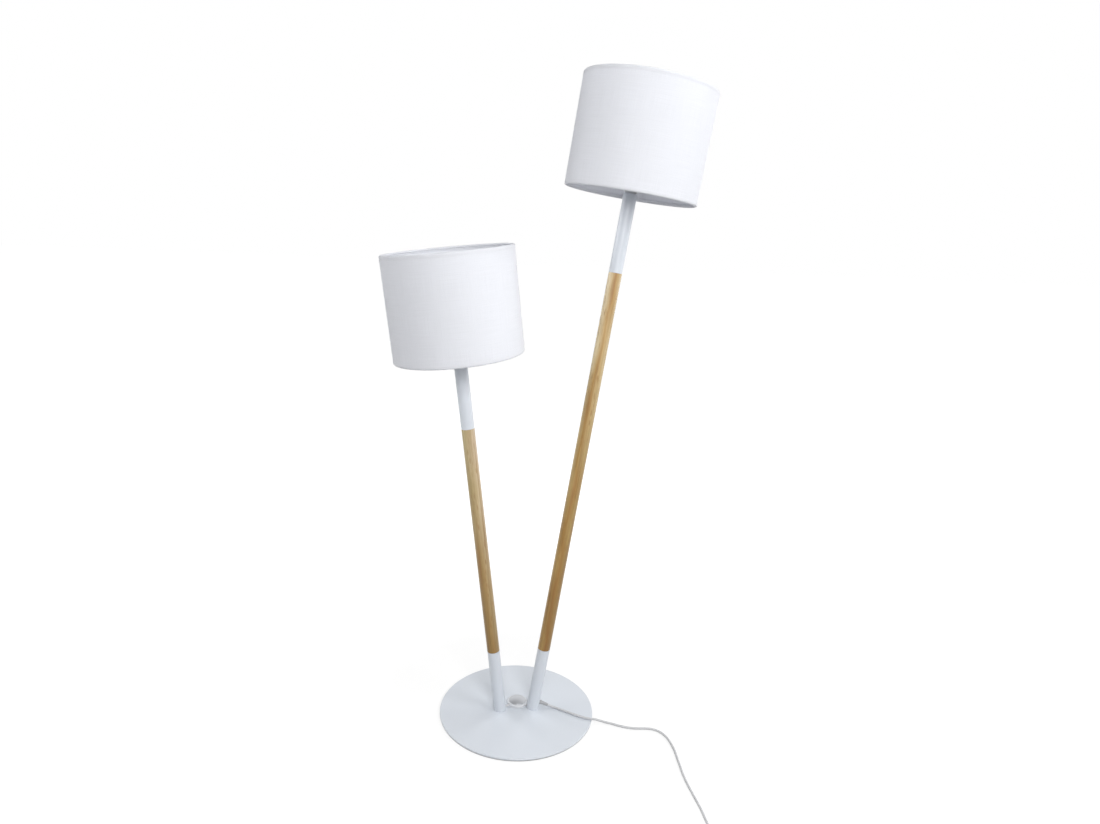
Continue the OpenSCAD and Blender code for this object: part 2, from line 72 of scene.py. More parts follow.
# a shade's wire rings, and how far the tube goes up into it
TUBE_TUCK = 5 * MM
RING_R = 141.2 * MM
RING_Z = 2.7 * MM
SWITCH_AT = Vector((4, 21.5, 0)) * MM
CORD_D = 5.4 * MM
LEAD_D = 5 * MM


def pole_frame(side, along=0.0):
    """Matrix that puts a piece on a pole, at a distance along its axis."""
    foot = Matrix.Translation((side * FOOT_X, 0, BASE_TOP))
    return foot @ Matrix.Rotation(side * LEAN, 4, "Y") @ Matrix.Translation((0, 0, along))


print("shades: %.0f mm across, %.0f mm high" % (2 * SHADE_R / MM, SHADE_H / MM))

# %% [markdown]
# Light, floor and finishes are all trees of nodes. The helpers below keep each
# tree short: one puts an object in the scene, one adds a node and feeds its
# inputs, and two add the nodes that are used most.


# %% Helpers for objects and node trees
def put(name, data):
    """A new object in the scene that shows this data."""
    piece = bpy.data.objects.new(name, data)
    bpy.context.scene.collection.objects.link(piece)
    return piece


def add(tree, kind, inputs=None, **settings):
    """A new node. An input is linked where it is given a socket, else set."""
    node = tree.nodes.new(kind)
    for name, value in settings.items():
        setattr(node, name, value)
    for name, value in (inputs or {}).items():
        if isinstance(value, bpy.types.NodeSocket):
            tree.links.new(value, node.inputs[name])
        else:
            node.inputs[name].default_value = value
    return node


def maths(tree, operation, *values):
    return add(tree, "ShaderNodeMath", dict(enumerate(values)), operation=operation).outputs[0]


def vector_maths(tree, operation, *values):
    node = add(tree, "ShaderNodeVectorMath", dict(enumerate(values)), operation=operation)
    return node.outputs["Value" if operation in ("LENGTH", "DOT_PRODUCT") else "Vector"]


print("node helpers ready")

# %% [markdown]
# ## Camera and light
# The camera stands where the photograph was taken: about 1.2 m high, 1.7 m in
# front and a little to the left, looking slightly down and rolled by under
# three degrees. A 25 mm lens on a 36 mm sensor gives the same strong
# perspective on the two shades.

# %% Camera
IMAGE_W = 1100
FOCAL_PX = 767.5
SENSOR_MM = 36
CLIP_NEAR, CLIP_FAR = 0.05, 60
CAMERA_AT = Vector((-0.2177, -1.6757, 1.1903))
YAW, PITCH, ROLL = 0.1585, 0.2424, 0.0465


def camera_axes(yaw, pitch, roll):
    """The camera's right, up and forward directions."""
    ahead = Vector((
        math.sin(yaw) * math.cos(pitch), math.cos(yaw) * math.cos(pitch), -math.sin(pitch)
    ))
    level = Vector((math.cos(yaw), -math.sin(yaw), 0))
    up = level.cross(ahead)
    right = math.cos(roll) * level + math.sin(roll) * up
    return right, math.cos(roll) * up - math.sin(roll) * level, ahead


right, up, ahead = camera_axes(YAW, PITCH, ROLL)
lens = bpy.data.cameras.new("photo_camera")
lens.sensor_width = SENSOR_MM
lens.lens = FOCAL_PX * SENSOR_MM / IMAGE_W
lens.clip_start, lens.clip_end = CLIP_NEAR, CLIP_FAR
camera = put("photo_camera", lens)
turned = Matrix((right, up, -ahead)).transposed()
camera.matrix_world = Matrix.Translation(CAMERA_AT) @ turned.to_4x4()
bpy.context.scene.camera = camera
print("lens: %.2f mm" % lens.lens)

# %% [markdown]
# The light is a plain studio of seven large soft lamps. The strongest stands in
# front, and a key lamp high up on the right makes the right side of each shade
# the lighter one. Two at the sides, one overhead and two behind fill the rest.
# The two behind stay out of reflections, where they would put a bright spot on
# the metal button. The room itself adds next to nothing.

# %% Lamps
# name, place, aim, width in metres, watts, seen in reflections
LAMPS = [
    ("key_lamp", (2.0, -1.55, 2.75), (0.1, 0, 0.9), 1.4, 27, True),
    ("front_lamp", (0.1, -2.7, 2.0), (0.05, 0, 0.8), 1.6, 64, True),
    ("right_lamp", (2.6, 0.3, 1.7), (0.05, 0, 0.9), 1.6, 24, True),
    ("left_lamp", (-2.6, 0.3, 1.7), (0.05, 0, 0.9), 1.6, 19.5, True),
    ("top_lamp", (0.55, -0.5, 3.3), (0.15, 0, 0.5), 2.2, 12.5, True),
    ("back_right_lamp", (2.2, 1.8, 1.8), (0.05, 0, 0.9), 1.6, 25, False),
    ("back_left_lamp", (-2.2, 1.8, 1.8), (0.05, 0, 0.9), 1.6, 27, False),
]


def soft_lamp(name, at, aim, width, watts, in_reflections):
    light = bpy.data.lights.new(name, "AREA")
    light.shape = "DISK"
    light.size = width
    light.energy = watts
    lamp = put(name, light)
    lamp.location = at
    lamp.rotation_euler = (Vector(aim) - Vector(at)).to_track_quat("-Z", "Y").to_euler()
    lamp.visible_glossy = in_reflections


for row in LAMPS:
    soft_lamp(*row)
print("lamps:", len(LAMPS))

# %% [markdown]
# The background is white to the camera, but lights the lamp hardly at all. In
# reflections it is white behind, to the right and below, and darker in front,
# to the left and above, as a studio is. Light Path tells these rays apart.

# %% Background
WHITE = (1, 1, 1, 1)
ROOM_LEVEL = 0.02
ROOM_DARK = 0.4
ROOM_BRIGHT_WAY = Vector((0.35, 0.75, -0.55)).normalized()


def map_range(tree, value, from_min, from_max, to_min, to_max, **settings):
    return add(tree, "ShaderNodeMapRange", {
        "Value": value, "From Min": from_min, "From Max": from_max,
        "To Min": to_min, "To Max": to_max,
    }, **settings).outputs["Result"]


def mix_shaders(tree, factor, first, second):
    node = add(tree, "ShaderNodeMixShader", {
        0: factor, 1: first.outputs[0], 2: second.outputs[0],
    })
    return node.outputs[0]


def seen_directly(tree):
    """A factor of 1 for rays from the camera, off gloss or through glass, else 0."""
    rays = add(tree, "ShaderNodeLightPath").outputs
    seen = maths(tree, "MAXIMUM", rays["Is Camera Ray"], rays["Is Glossy Ray"])
    return maths(tree, "MAXIMUM", seen, rays["Is Transmission Ray"])


def reflected_room(tree):
    """Level of the background: white when seen straight, uneven in reflections."""
    way = add(tree, "ShaderNodeTexCoord").outputs["Generated"]
    facing = vector_maths(tree, "DOT_PRODUCT", way, ROOM_BRIGHT_WAY)
    level = map_range(
        tree, facing, -0.5, 0.5, ROOM_DARK, 1.0, interpolation_type="SMOOTHSTEP"
    )
    rays = add(tree, "ShaderNodeLightPath").outputs
    for kind in ("Is Camera Ray", "Is Transmission Ray"):
        level = maths(tree, "MAXIMUM", level, rays[kind])
    return level


def studio_world():
    world = bpy.data.worlds.new("studio")
    bpy.context.scene.world = world
    world.use_nodes = True
    tree = world.node_tree
    tree.nodes.clear()
    room = add(tree, "ShaderNodeBackground", {"Color": WHITE, "Strength": ROOM_LEVEL})
    seen = add(tree, "ShaderNodeBackground", {"Color": WHITE, "Strength": reflected_room(tree)})
    surface = mix_shaders(tree, seen_directly(tree), room, seen)
    add(tree, "ShaderNodeOutputWorld", {"Surface": surface})
    return world


world = studio_world()
bpy.context.scene.view_settings.view_transform = "Standard"
print("background:", world.name)

# %% [markdown]
# The floor is a wide pale sheet. To the camera most of its white is its own
# glow, and the rest is lit, so the lamp's shadow shows on it faintly. The glow
# rises away from the lamp, so that the floor meets the background unseen. It
# falls to nothing under the base, which paints a thin contact shadow at the rim.
# Light that bounces meets a plain grey floor instead.

# %% Floor
FLOOR_SIZE = 40
FLOOR_DROP = 0.3 * MM
FLOOR_GLOW = 0.72
FLOOR_LIT = (0.3, 0.3, 0.3, 1)
FLOOR_BOUNCE = (0.5, 0.5, 0.5, 1)
GLOW_NEAR, GLOW_FAR = 0.35, 1.1
# a painted contact shadow: the glow falls to nothing inside the base's rim
CONTACT_SHADOW_NEAR, CONTACT_SHADOW_FAR = 187.5 * MM, 190.5 * MM


def floor_material():
    mat = bpy.data.materials.new("studio_floor")
    mat.use_nodes = True
    tree = mat.node_tree
    tree.nodes.clear()
    place = add(tree, "ShaderNodeTexCoord").outputs["Object"]
    far = vector_maths(tree, "LENGTH", place)
    spread = map_range(tree, far, GLOW_NEAR, GLOW_FAR, FLOOR_GLOW, 1.0)
    # painted contact shadow: no glow under the base, a thin dark line at its rim
    contact = map_range(tree, far, CONTACT_SHADOW_NEAR, CONTACT_SHADOW_FAR, 0.0, 1.0)
    glow = add(tree, "ShaderNodeEmission", {"Strength": maths(tree, "MULTIPLY", spread, contact)})
    lit = add(tree, "ShaderNodeBsdfDiffuse", {"Color": FLOOR_LIT})
    seen = add(tree, "ShaderNodeAddShader", {0: lit.outputs[0], 1: glow.outputs[0]})
    plain = add(tree, "ShaderNodeBsdfDiffuse", {"Color": FLOOR_BOUNCE})
    surface = mix_shaders(tree, seen_directly(tree), plain, seen)
    add(tree, "ShaderNodeOutputMaterial", {"Surface": surface})
    return mat


floor_mesh = bpy.data.meshes.new("floor")
half = FLOOR_SIZE / 2
floor_mesh.from_pydata(
    [(-half, -half, 0), (half, -half, 0), (half, half, 0), (-half, half, 0)], [], [(0, 1, 2, 3)]
)
floor_mesh.materials.append(floor_material())
floor = put("floor", floor_mesh)
floor.location.z = -FLOOR_DROP
print("floor: %d m wide" % FLOOR_SIZE)

# %% [markdown]
# ## Finishes
# Every finish starts from a Principled shader and its constant values. Most
# real surfaces are uneven in the same way: where a slow pattern is low the
# colour is a little darker and the gloss differs, so one helper does that for
# paint, plastic and metal. Depths of bump are real depths, in metres.


# %% Helpers for finishes
def finish(name, **constants):
    """A new material, its tree and its Principled shader."""
    mat = bpy.data.materials.new(name)
    mat.use_nodes = True
    tree = mat.node_tree
    shader = tree.nodes["Principled BSDF"]
    for key, value in constants.items():
        shader.inputs[key.replace("_", " ")].default_value = value
    return mat, tree, shader


def object_coords(tree, turn=(0, 0, 0), shift=(0, 0, 0)):
    coords = add(tree, "ShaderNodeTexCoord").outputs["Object"]
    return add(tree, "ShaderNodeMapping", {
        "Vector": coords, "Location": shift, "Rotation": turn,
    }).outputs[0]


def noise(tree, place, scale, detail=3.0, roughness=0.5, distortion=0.0):
    return add(tree, "ShaderNodeTexNoise", {
        "Vector": place, "Scale": scale, "Detail": detail, "Roughness": roughness,
        "Distortion": distortion,
    }).outputs["Fac"]


def grey(level):
    return (level, level, level)


def dim(colour, share):
    return tuple(c * share for c in colour)


def ramp(tree, factor, stops):
    """A colour ramp through stops of (place, colour)."""
    node = add(tree, "ShaderNodeValToRGB", {"Fac": factor})
    elements = node.color_ramp.elements
    while len(elements) < len(stops):
        elements.new(0.5)
    for element, (place, colour) in zip(elements, stops):
        element.position = place
        element.color = (*colour, 1)
    return node.outputs["Color"]


def bump(tree, shader, height, depth):
    node = add(tree, "ShaderNodeBump", {"Height": height, "Distance": depth, "Strength": 1.0})
    tree.links.new(node.outputs[0], shader.inputs["Normal"])


def uneven(tree, shader, pattern, colour, dark, rough_low, rough_high):
    """Colour and roughness that follow a pattern, from its low end to its high."""
    tone = ramp(tree, pattern, [(0.3, dim(colour, dark)), (0.7, colour)])
    rough = ramp(tree, pattern, [(0.3, grey(rough_low)), (0.7, grey(rough_high))])
    tree.links.new(tone, shader.inputs["Base Color"])
    tree.links.new(rough, shader.inputs["Roughness"])


def both(*names):
    """The names of the left and right solids of each kind."""
    return [name + "_" + label for name in names for label in SIDES]


def dress(mat, *names):
    """Gives a finish to solids that stay as they are."""
    for name in names:
        solid = nodes[name].data
        solid.materials.clear()
        solid.materials.append(mat)
    print(mat.name, "on", ", ".join(names))


# %% [markdown]
# White powder coat is a baked polymer skin. Up close it has a fine orange
# peel, and a satin gloss that shows the lamps as soft streaks. A little
# uneven thickness shows as a slow change in colour and gloss.

# %% Powder coat
PAINT_CLOUD = 9
PEEL_SCALE = 900
PEEL_DEPTH = 0.06 * MM


def powder_coat(name, colour, roughness):
    mat, tree, shader = finish(name, Coat_Weight=0.25, Coat_Roughness=0.18, Specular_IOR_Level=0.5)
    place = object_coords(tree)
    slow = noise(tree, place, PAINT_CLOUD)
    uneven(tree, shader, slow, colour, 0.975, roughness - 0.05, roughness + 0.05)
    bump(tree, shader, noise(tree, place, PEEL_SCALE, 2), PEEL_DEPTH)
    return mat


dress(
    powder_coat("powder_coat_white", (0.668, 0.706, 0.76), 0.40),
    "base_plate", *both("lower_tube", "upper_tube")
)
dress(
    powder_coat("coated_wire", (0.8, 0.8, 0.8), 0.3), *both("shade_frame", "shade_top_ring")
)

# %% [markdown]
# The middle of each pole is light, knotty wood under a clear matt lacquer.
# The grain runs along the pole, so the pattern is made in the pole's own
# directions: a Mapping node turns the leaning axis upright first. Long streaks
# are noise stretched along the axis. Small knots from a cell pattern pull the
# streaks aside. The colour is painted darker towards the foot and lighter towards
# the top, as painted shade and light, and the left and right sides get a painted
# highlight and painted shade. Those tints and a few long knots are placed as the
# photograph shows them.

# %% Colours of the wood
WOOD_R = 15 * MM
KNOT_W = 6 * MM
KNOT_BROWN = (0.31, 0.150, 0.040, 1)
WOOD_DEPTH = 0.12 * MM
# how fine each pattern is across the pole and along it
KNOT_CELLS = (34, 34, 6)
WANDER = (30, 30, 7)
STREAKS = (170, 170, 3.2)
BANDS = (38, 38, 2.6)
PORES = (1500, 1500, 60)
HEIGHT_STOPS = (0.16, 0.5, 0.97)
SIDE_STOPS = (0.12, 0.5, 0.84)
FOOT_TO_TOP = [(0.35, (0, 0, 0)), (0.85, (1, 1, 1))]
STREAK_TONES = [
    (0.27, (0.66, 0.56, 0.44)), (0.45, (0.95, 0.92, 0.88)), (0.68, (1.14, 1.18, 1.25)),
]
BROAD_TONES = [(0.34, (0.84, 0.78, 0.69)), (0.64, (1.08, 1.1, 1.13))]
PORE_TONES = [(0.35, (0.9, 0.9, 0.9)), (0.55, (1, 1, 1))]

# length: from the foot to the wood's end. colours: at HEIGHT_STOPS, painted darker
# towards the foot as painted shade. The foot's and the top's side tints: painted
# highlight and painted shade at SIDE_STOPS, about a line middle metres off the
# axis. knots: place across, place along and half length, in metres.
WOODS = {
    "left": {
        "seed": 3.7,
        "length": 0.732,
        "colours": [(0.31, 0.192, 0.065), (0.34, 0.228, 0.090), (0.48, 0.40, 0.215)],
        "middle": 0,
        "foot_side_light": [(0.84, 0.76, 0.50), (1.04, 0.98, 0.82), (1.2, 1.36, 1.7)],
        "top_side_light": [(0.97, 0.92, 0.82), (1.10, 1.06, 1.12), (1.24, 1.22, 1.6)],
        "knots": [(-0.009, 0.40, 0.09)],
    },
    "right": {
        "seed": 11.2,
        "length": 1.092,
        "colours": [(0.268, 0.143, 0.034), (0.35, 0.212, 0.058), (0.49, 0.315, 0.125)],
        "middle": -4 * MM,
        "foot_side_light": [(1.43, 1.65, 2.0), (0.92, 0.79, 0.55), (0.98, 1.03, 1.05)],
        "top_side_light": [(1.78, 2.38, 4.1), (1.09, 1.09, 1.07), (1.27, 1.58, 2.4)],
        "knots": [(-0.0025, 1.052, 0.05), (-0.008, 0.79, 0.05), (-0.0055, 0.57, 0.08)],
    },
}
print("woods:", ", ".join(WOODS))

# %% [markdown]
# Small knots, long knots, the painted highlight and shade from side to side and
# the grain have a function each. Their coordinates are scaled up far less along
# the pole than across it, which draws the patterns out along the grain.


# %% Patterns in the wood
def pole_coords(tree, side):
    """Object coordinates with the pole turned upright and its foot at zero."""
    foot = Matrix.Rotation(-side * LEAN, 3, "Y") @ Vector((side * FOOT_X, 0, BASE_TOP))
    return object_coords(tree, turn=(0, -side * LEAN, 0), shift=tuple(-foot))


def stretched(tree, place, scale, shift=(0, 0, 0)):
    return add(tree, "ShaderNodeMapping", {
        "Vector": place, "Location": shift, "Scale": scale,
    }).outputs[0]


def split(tree, vector):
    return add(tree, "ShaderNodeSeparateXYZ", {"Vector": vector}).outputs


def combine(tree, **parts):
    return add(tree, "ShaderNodeCombineXYZ", parts).outputs[0]


def small_knots(tree, place, seed):
    """A factor of 1 in the middle of each small knot, 0 in plain wood."""
    cells = add(tree, "ShaderNodeTexVoronoi", {
        "Vector": stretched(tree, place, KNOT_CELLS, (seed, 0.5, seed * 0.37)),
    })
    near = ramp(tree, cells.outputs["Distance"], [(0.0, grey(1)), (0.36, grey(0))])
    return maths(tree, "POWER", near, 1.5)


def long_knot(tree, place, across, height, length):
    """A factor that falls from 1 at a knot's middle to 0 at its pointed ends."""
    offset = vector_maths(tree, "SUBTRACT", place, (across, 0, height))
    scaled = vector_maths(tree, "MULTIPLY", offset, (1 / KNOT_W, 0, 1 / length))
    far = vector_maths(tree, "LENGTH", scaled)
    return ramp(tree, far, [(0.0, grey(1)), (0.4, grey(0.7)), (1.0, grey(0))])


def painted_side_light(tree, place, middle, tints):
    """Painted highlight and shade across the pole, side to side, with a wandering edge."""
    wander = noise(tree, stretched(tree, place, WANDER, (0.3, 0, 0.1)), 1.0, 2, 0.4)
    from_middle = maths(tree, "SUBTRACT", split(tree, place)["X"], middle)
    share = maths(tree, "MULTIPLY_ADD", from_middle, 0.5 / WOOD_R, wander)
    return ramp(tree, share, list(zip(SIDE_STOPS, tints)))


def wood_grain(tree, place, seed, knot):
    """Streaks that the knots pull aside, broad bands, and pores."""
    pull = combine(tree, X=knot, Y=knot)
    fine = stretched(tree, place, STREAKS, (0, seed, 0))
    streak = noise(tree, vector_maths(tree, "ADD", fine, pull), 1.0, 4, 0.6, 0.7)
    broad = noise(tree, stretched(tree, place, BANDS, (seed, seed, 0)), 1.0, 3, 0.5, 0.5)
    pores = noise(tree, stretched(tree, place, PORES), 1.0, 2)
    return streak, broad, pores


print("wood patterns ready")

# %% [markdown]
# The colour of the wood comes from the height first, painted darker towards the
# foot as painted shade. Then the painted highlight and shade from side to side,
# the streaks, the bands, the knots and the pores change it in turn.

# %% Lacquered wood
KNOT_SHARE = 0.8
STREAK_SHARE = 0.6


def blend_colours(tree, factor, a, b, kind="MIX"):
    """Inputs 6 and 7 and output 2 of this node are its colours."""
    node = add(
        tree, "ShaderNodeMix", {0: factor, 6: a, 7: b}, data_type="RGBA", blend_type=kind
    )
    return node.outputs[2]


def tinted(tree, colour, tint):
    return blend_colours(tree, 1.0, colour, tint, "MULTIPLY")


def pole_wood(name, side, wood):
    mat, tree, shader = finish(
        name, Roughness=0.46, Coat_Weight=0.2, Coat_Roughness=0.3, Sheen_Weight=0.1,
        Sheen_Roughness=0.4,
    )
    place = pole_coords(tree, side)
    knot = small_knots(tree, place, wood["seed"])
    streak, broad, pores = wood_grain(tree, place, wood["seed"], knot)
    level = maths(tree, "DIVIDE", split(tree, place)["Z"], wood["length"])
    # painted highlight and painted shade on the pole's sides, the foot's tints blended into the
    # top's
    sides = blend_colours(
        tree, ramp(tree, level, FOOT_TO_TOP),
        painted_side_light(tree, place, wood["middle"], wood["foot_side_light"]),
        painted_side_light(tree, place, wood["middle"], wood["top_side_light"]),
    )
    # the wood's colour by height, painted darker towards the foot as painted shade
    colour = tinted(tree, ramp(tree, level, list(zip(HEIGHT_STOPS, wood["colours"]))), sides)
    colour = tinted(tree, colour, ramp(tree, streak, STREAK_TONES))
    colour = tinted(tree, colour, ramp(tree, broad, BROAD_TONES))
    for spot in wood["knots"]:
        knot = maths(tree, "MAXIMUM", knot, long_knot(tree, place, *spot))
    colour = blend_colours(tree, maths(tree, "MULTIPLY", knot, KNOT_SHARE), colour, KNOT_BROWN)
    colour = tinted(tree, colour, ramp(tree, pores, PORE_TONES))
    tree.links.new(colour, shader.inputs["Base Color"])
    bump(tree, shader, maths(tree, "MULTIPLY_ADD", streak, STREAK_SHARE, pores), WOOD_DEPTH)
    return mat


for label, side in SIDES.items():
    dress(pole_wood("lacquered_wood_" + label, side, WOODS[label]), "wood_pole_" + label)

# %% [markdown]
# Moulded plastic copies the fine spark-eroded grain of its steel mould. The
# housings are satin white, the contact and terminal blocks cream, and the
# switch's core black. The cord's sheath and relief have a coarser grain.

# %% Plastics
PLASTIC_CLOUD = 30
MOULD_GRAIN = 1400
SOFT_GRAIN = 700
GRAIN_DEPTH = 0.05 * MM


def moulded(name, colour, roughness, grain=MOULD_GRAIN):
    mat, tree, shader = finish(name, Specular_IOR_Level=0.45)
    place = object_coords(tree)
    slow = noise(tree, place, PLASTIC_CLOUD)
    uneven(tree, shader, slow, colour, 0.96, roughness - 0.05, roughness + 0.05)
    bump(tree, shader, noise(tree, place, grain, 2), GRAIN_DEPTH)
    return mat


housing_white = moulded("moulded_white", (0.70, 0.715, 0.738), 0.38)
insulator = moulded("moulded_cream", (0.76, 0.74, 0.66), 0.5)
black_plastic = moulded("moulded_black", (0.03, 0.03, 0.033), 0.45)
cord_sheath = moulded("soft_pale_sheath", (0.60, 0.605, 0.62), 0.5, SOFT_GRAIN)
# The relief's dark grey is painted shade, for the shadow under the cord where it leaves the foot.
relief_grey_painted_shade = moulded("relief_grey_painted_shade", (0.42, 0.425, 0.435), 0.55, SOFT_GRAIN)
dress(
    housing_white, *both("holder_cap", "holder_skirt", "shade_nut"), "switch_base", "switch_cover"
)
dress(insulator, *both("contact_block"), "terminal_block")
dress(black_plastic, "switch_core")
dress(cord_sheath, "lead_right")

# %% [markdown]
# Plated steel, brass and nickel are cloudy up close: the plating is duller in
# some places than in others. The button is bare turned metal, which shows fine
# rings from the tool. The rings are noise that reads only the distance from
# the button's axis.

# %% Metals
METAL_DEPTH = 0.03 * MM
PLATING_CLOUD = 60
PLATING_SCALE = 1200
TURNING_SCALE = 2600


def plated(name, colour, roughness):
    mat, tree, shader = finish(name, Metallic=1.0)
    place = object_coords(tree)
    slow = noise(tree, place, PLATING_CLOUD, 4)
    uneven(tree, shader, slow, colour, 0.82, roughness + 0.1, roughness)
    bump(tree, shader, noise(tree, place, PLATING_SCALE, 2), METAL_DEPTH)
    return mat


def turned_metal(name, colour, roughness, centre):
    """Metal with fine rings round an upright axis, as it leaves the lathe."""
    mat, tree, shader = finish(name, Metallic=1.0)
    place = object_coords(tree, shift=(-centre[0], -centre[1], 0))
    radius = vector_maths(tree, "LENGTH", vector_maths(tree, "MULTIPLY", place, (1, 1, 0)))
    spread = maths(tree, "MULTIPLY", radius, TURNING_SCALE)
    rings = noise(tree, combine(tree, X=spread), 1.0)
    uneven(tree, shader, rings, colour, 0.86, roughness + 0.08, roughness)
    bump(tree, shader, rings, METAL_DEPTH)
    return mat


zinc = plated("zinc_plate", (0.62, 0.63, 0.65), 0.32)
brass = plated("bright_brass", (0.80, 0.60, 0.28), 0.24)
nickel = plated("bright_nickel", (0.72, 0.71, 0.69), 0.16)
button_metal = turned_metal("turned_button", (0.62, 0.635, 0.665), 0.30, SWITCH_AT)
dress(
    zinc, "foot_screws", "switch_screws", *both("foot_block"), "tube_plugs", "joint_nipples",
    "holder_nipples",
)
dress(brass, "wood_inserts", *both("bulb_shell"), "centre_contacts")

# %% [markdown]
# The pad under the base is pressed felt, a mat of short fibres: rough noise
# with a strong twist, a deep bump and some sheen. The coil's strap is napped
# in the same way.

# %% Felt
FIBRE_SCALE = 700
FELT_DEPTH = 0.6 * MM


def felt(name, colour):
    mat, tree, shader = finish(name, Roughness=0.95, Sheen_Weight=0.4, Sheen_Roughness=0.5)
    fibres = noise(tree, object_coords(tree), FIBRE_SCALE, 6, 0.75, 1.5)
    tone = ramp(tree, fibres, [(0.35, dim(colour, 0.6)), (0.65, dim(colour, 1.5))])
    tree.links.new(tone, shader.inputs["Base Color"])
    bump(tree, shader, fibres, FELT_DEPTH)
    return mat


pad_felt = felt("pressed_felt", (0.05, 0.05, 0.055))
dress(pad_felt, "base_pad")

# %% [markdown]
# Shade cotton is a plain weave, glued to a stiff satin liner. The weave follows
# the cloth, so it is drawn in the piece's own UV map, which runs in metres
# round and up the drum: two sine waves at right angles make the threads.
# Threads of uneven thickness show as faint long slubs both ways. Both layers
# let a little of the light behind them through.

# %% Shade cloth
WEAVE_WAVE = 0.7 * MM
WEAVE_DEPTH = 0.06 * MM
LINER_DEPTH = 0.05 * MM
LINER_CLOUD, LINER_GRAIN = 60, 900
SLUB_SCALES = ((900, 14, 1), (14, 900, 1))
COTTON_THROUGH, LINER_THROUGH = 0.18, 0.06


def cloth_map(tree):
    return add(tree, "ShaderNodeUVMap", uv_map="cloth").outputs[0]


def thread_wave(tree, distance):
    return maths(tree, "SINE", maths(tree, "MULTIPLY", distance, 2 * math.pi / WEAVE_WAVE))


def let_light_through(tree, shader, share, colour):
    behind = add(tree, "ShaderNodeBsdfTranslucent", {"Color": (*colour, 1)})
    surface = tree.nodes["Material Output"].inputs["Surface"]
    tree.links.new(mix_shaders(tree, share, shader, behind), surface)


def shade_cloth(name, colour):
    mat, tree, shader = finish(name, Roughness=0.88, Sheen_Weight=0.25, Sheen_Roughness=0.4)
    place = cloth_map(tree)
    weave = maths(tree, "MULTIPLY", *[thread_wave(tree, split(tree, place)[i]) for i in "XY"])
    slub = maths(
        tree, "ADD", *[noise(tree, stretched(tree, place, scale), 1.0) for scale in SLUB_SCALES]
    )
    thickness = maths(tree, "MULTIPLY", slub, 0.5)
    tone = ramp(tree, thickness, [(0.36, dim(colour, 0.93)), (0.62, colour)])
    height = maths(tree, "MULTIPLY_ADD", weave, 0.5, 0.5)
    # The low points of the weave are painted a little darker, as painted shade in the pits between
    # threads.
    pit_shade = ramp(tree, height, [(0.0, grey(0.93)), (0.6, grey(1))])
    tree.links.new(tinted(tree, tone, pit_shade), shader.inputs["Base Color"])
    bump(tree, shader, maths(tree, "MULTIPLY_ADD", weave, 0.5, slub), WEAVE_DEPTH)
    let_light_through(tree, shader, COTTON_THROUGH, colour)
    return mat


def liner_film(name, colour):
    mat, tree, shader = finish(name, Roughness=0.4, Specular_IOR_Level=0.45)
    place = cloth_map(tree)
    slow = noise(tree, place, LINER_CLOUD)
    tone = ramp(tree, slow, [(0.3, dim(colour, 0.97)), (0.7, colour)])
    tree.links.new(tone, shader.inputs["Base Color"])
    bump(tree, shader, noise(tree, place, LINER_GRAIN, 2), LINER_DEPTH)
    let_light_through(tree, shader, LINER_THROUGH, colour)
    return mat


cotton = shade_cloth("shade_cotton", (0.88, 0.892, 0.932))
liner = liner_film("shade_liner", (0.965, 0.967, 0.97))
print("cloth:", cotton.name, liner.name)

# %% [markdown]
# ## Shades
# A drum shade is a strip of lined cloth rolled round two wire rings. Its wall
# is half a millimetre thick, and at each ring the cloth turns inward round the
# wire and is glued down inside, which leaves a soft bead and a slight step. So
# the shade is one cross-section swept round the axis: a rule that suits
# Geometry Nodes. The section is worked out here.

# %% Section of the shade
HEM = 9 * MM
WALL = 0.5 * MM
BEAD_R = 2.2 * MM
WALL_R = SHADE_R - WALL / 2


def arc(centre, radius, start, end, steps):
    """Points on an arc, angles in degrees."""
    out = []
    for i in range(steps + 1):
        angle = math.radians(start + (end - start) * i / steps)
        out.append((centre[0] + radius * math.cos(angle), centre[1] + radius * math.sin(angle)))
    return out


def offset_line(points, distance):
    """The line moved sideways by a distance, to its left."""
    moved = []
    for i, point in enumerate(points):
        before = Vector(points[max(i - 1, 0)])
        after = Vector(points[min(i + 1, len(points) - 1)])
        way = (after - before).normalized()
        moved.append((point[0] - way.y * distance, point[1] + way.x * distance))
    return moved


def shade_section():
    """Closed outline of the wall, from the tucked lower edge up and over."""
    low = [(WALL_R - 1.3 * MM, HEM - 1 * MM), (WALL_R - 1.5 * MM, HEM - 3 * MM)]
    low += arc((RING_R, RING_Z), BEAD_R, 150, 360, 14)
    high = [(r, SHADE_H - z) for r, z in reversed(low)]
    half_way = [(WALL_R, z) for z in (HEM * 0.7, HEM, SHADE_H / 3)]
    middle = half_way + [(WALL_R, SHADE_H / 2)] + [(r, SHADE_H - z) for r, z in reversed(half_way)]
    line = low + middle + high
    return offset_line(line, -WALL / 2) + list(reversed(offset_line(line, WALL / 2)))


section = shade_section()
print("points in the shade's section:", len(section))

# %% [markdown]
# The tree below is a lathe. A grid has one row for each turn step and one
# column for each point of the section. Sample Index reads the section point
# for each column, and the row gives the angle. The row and column are kept as
# an attribute first, because the cloth's UV map is made from them. Like every
# tree here it ends in Realize Instances and Set Material.

# %% A lathe in Geometry Nodes
WELD = 0.001 * MM


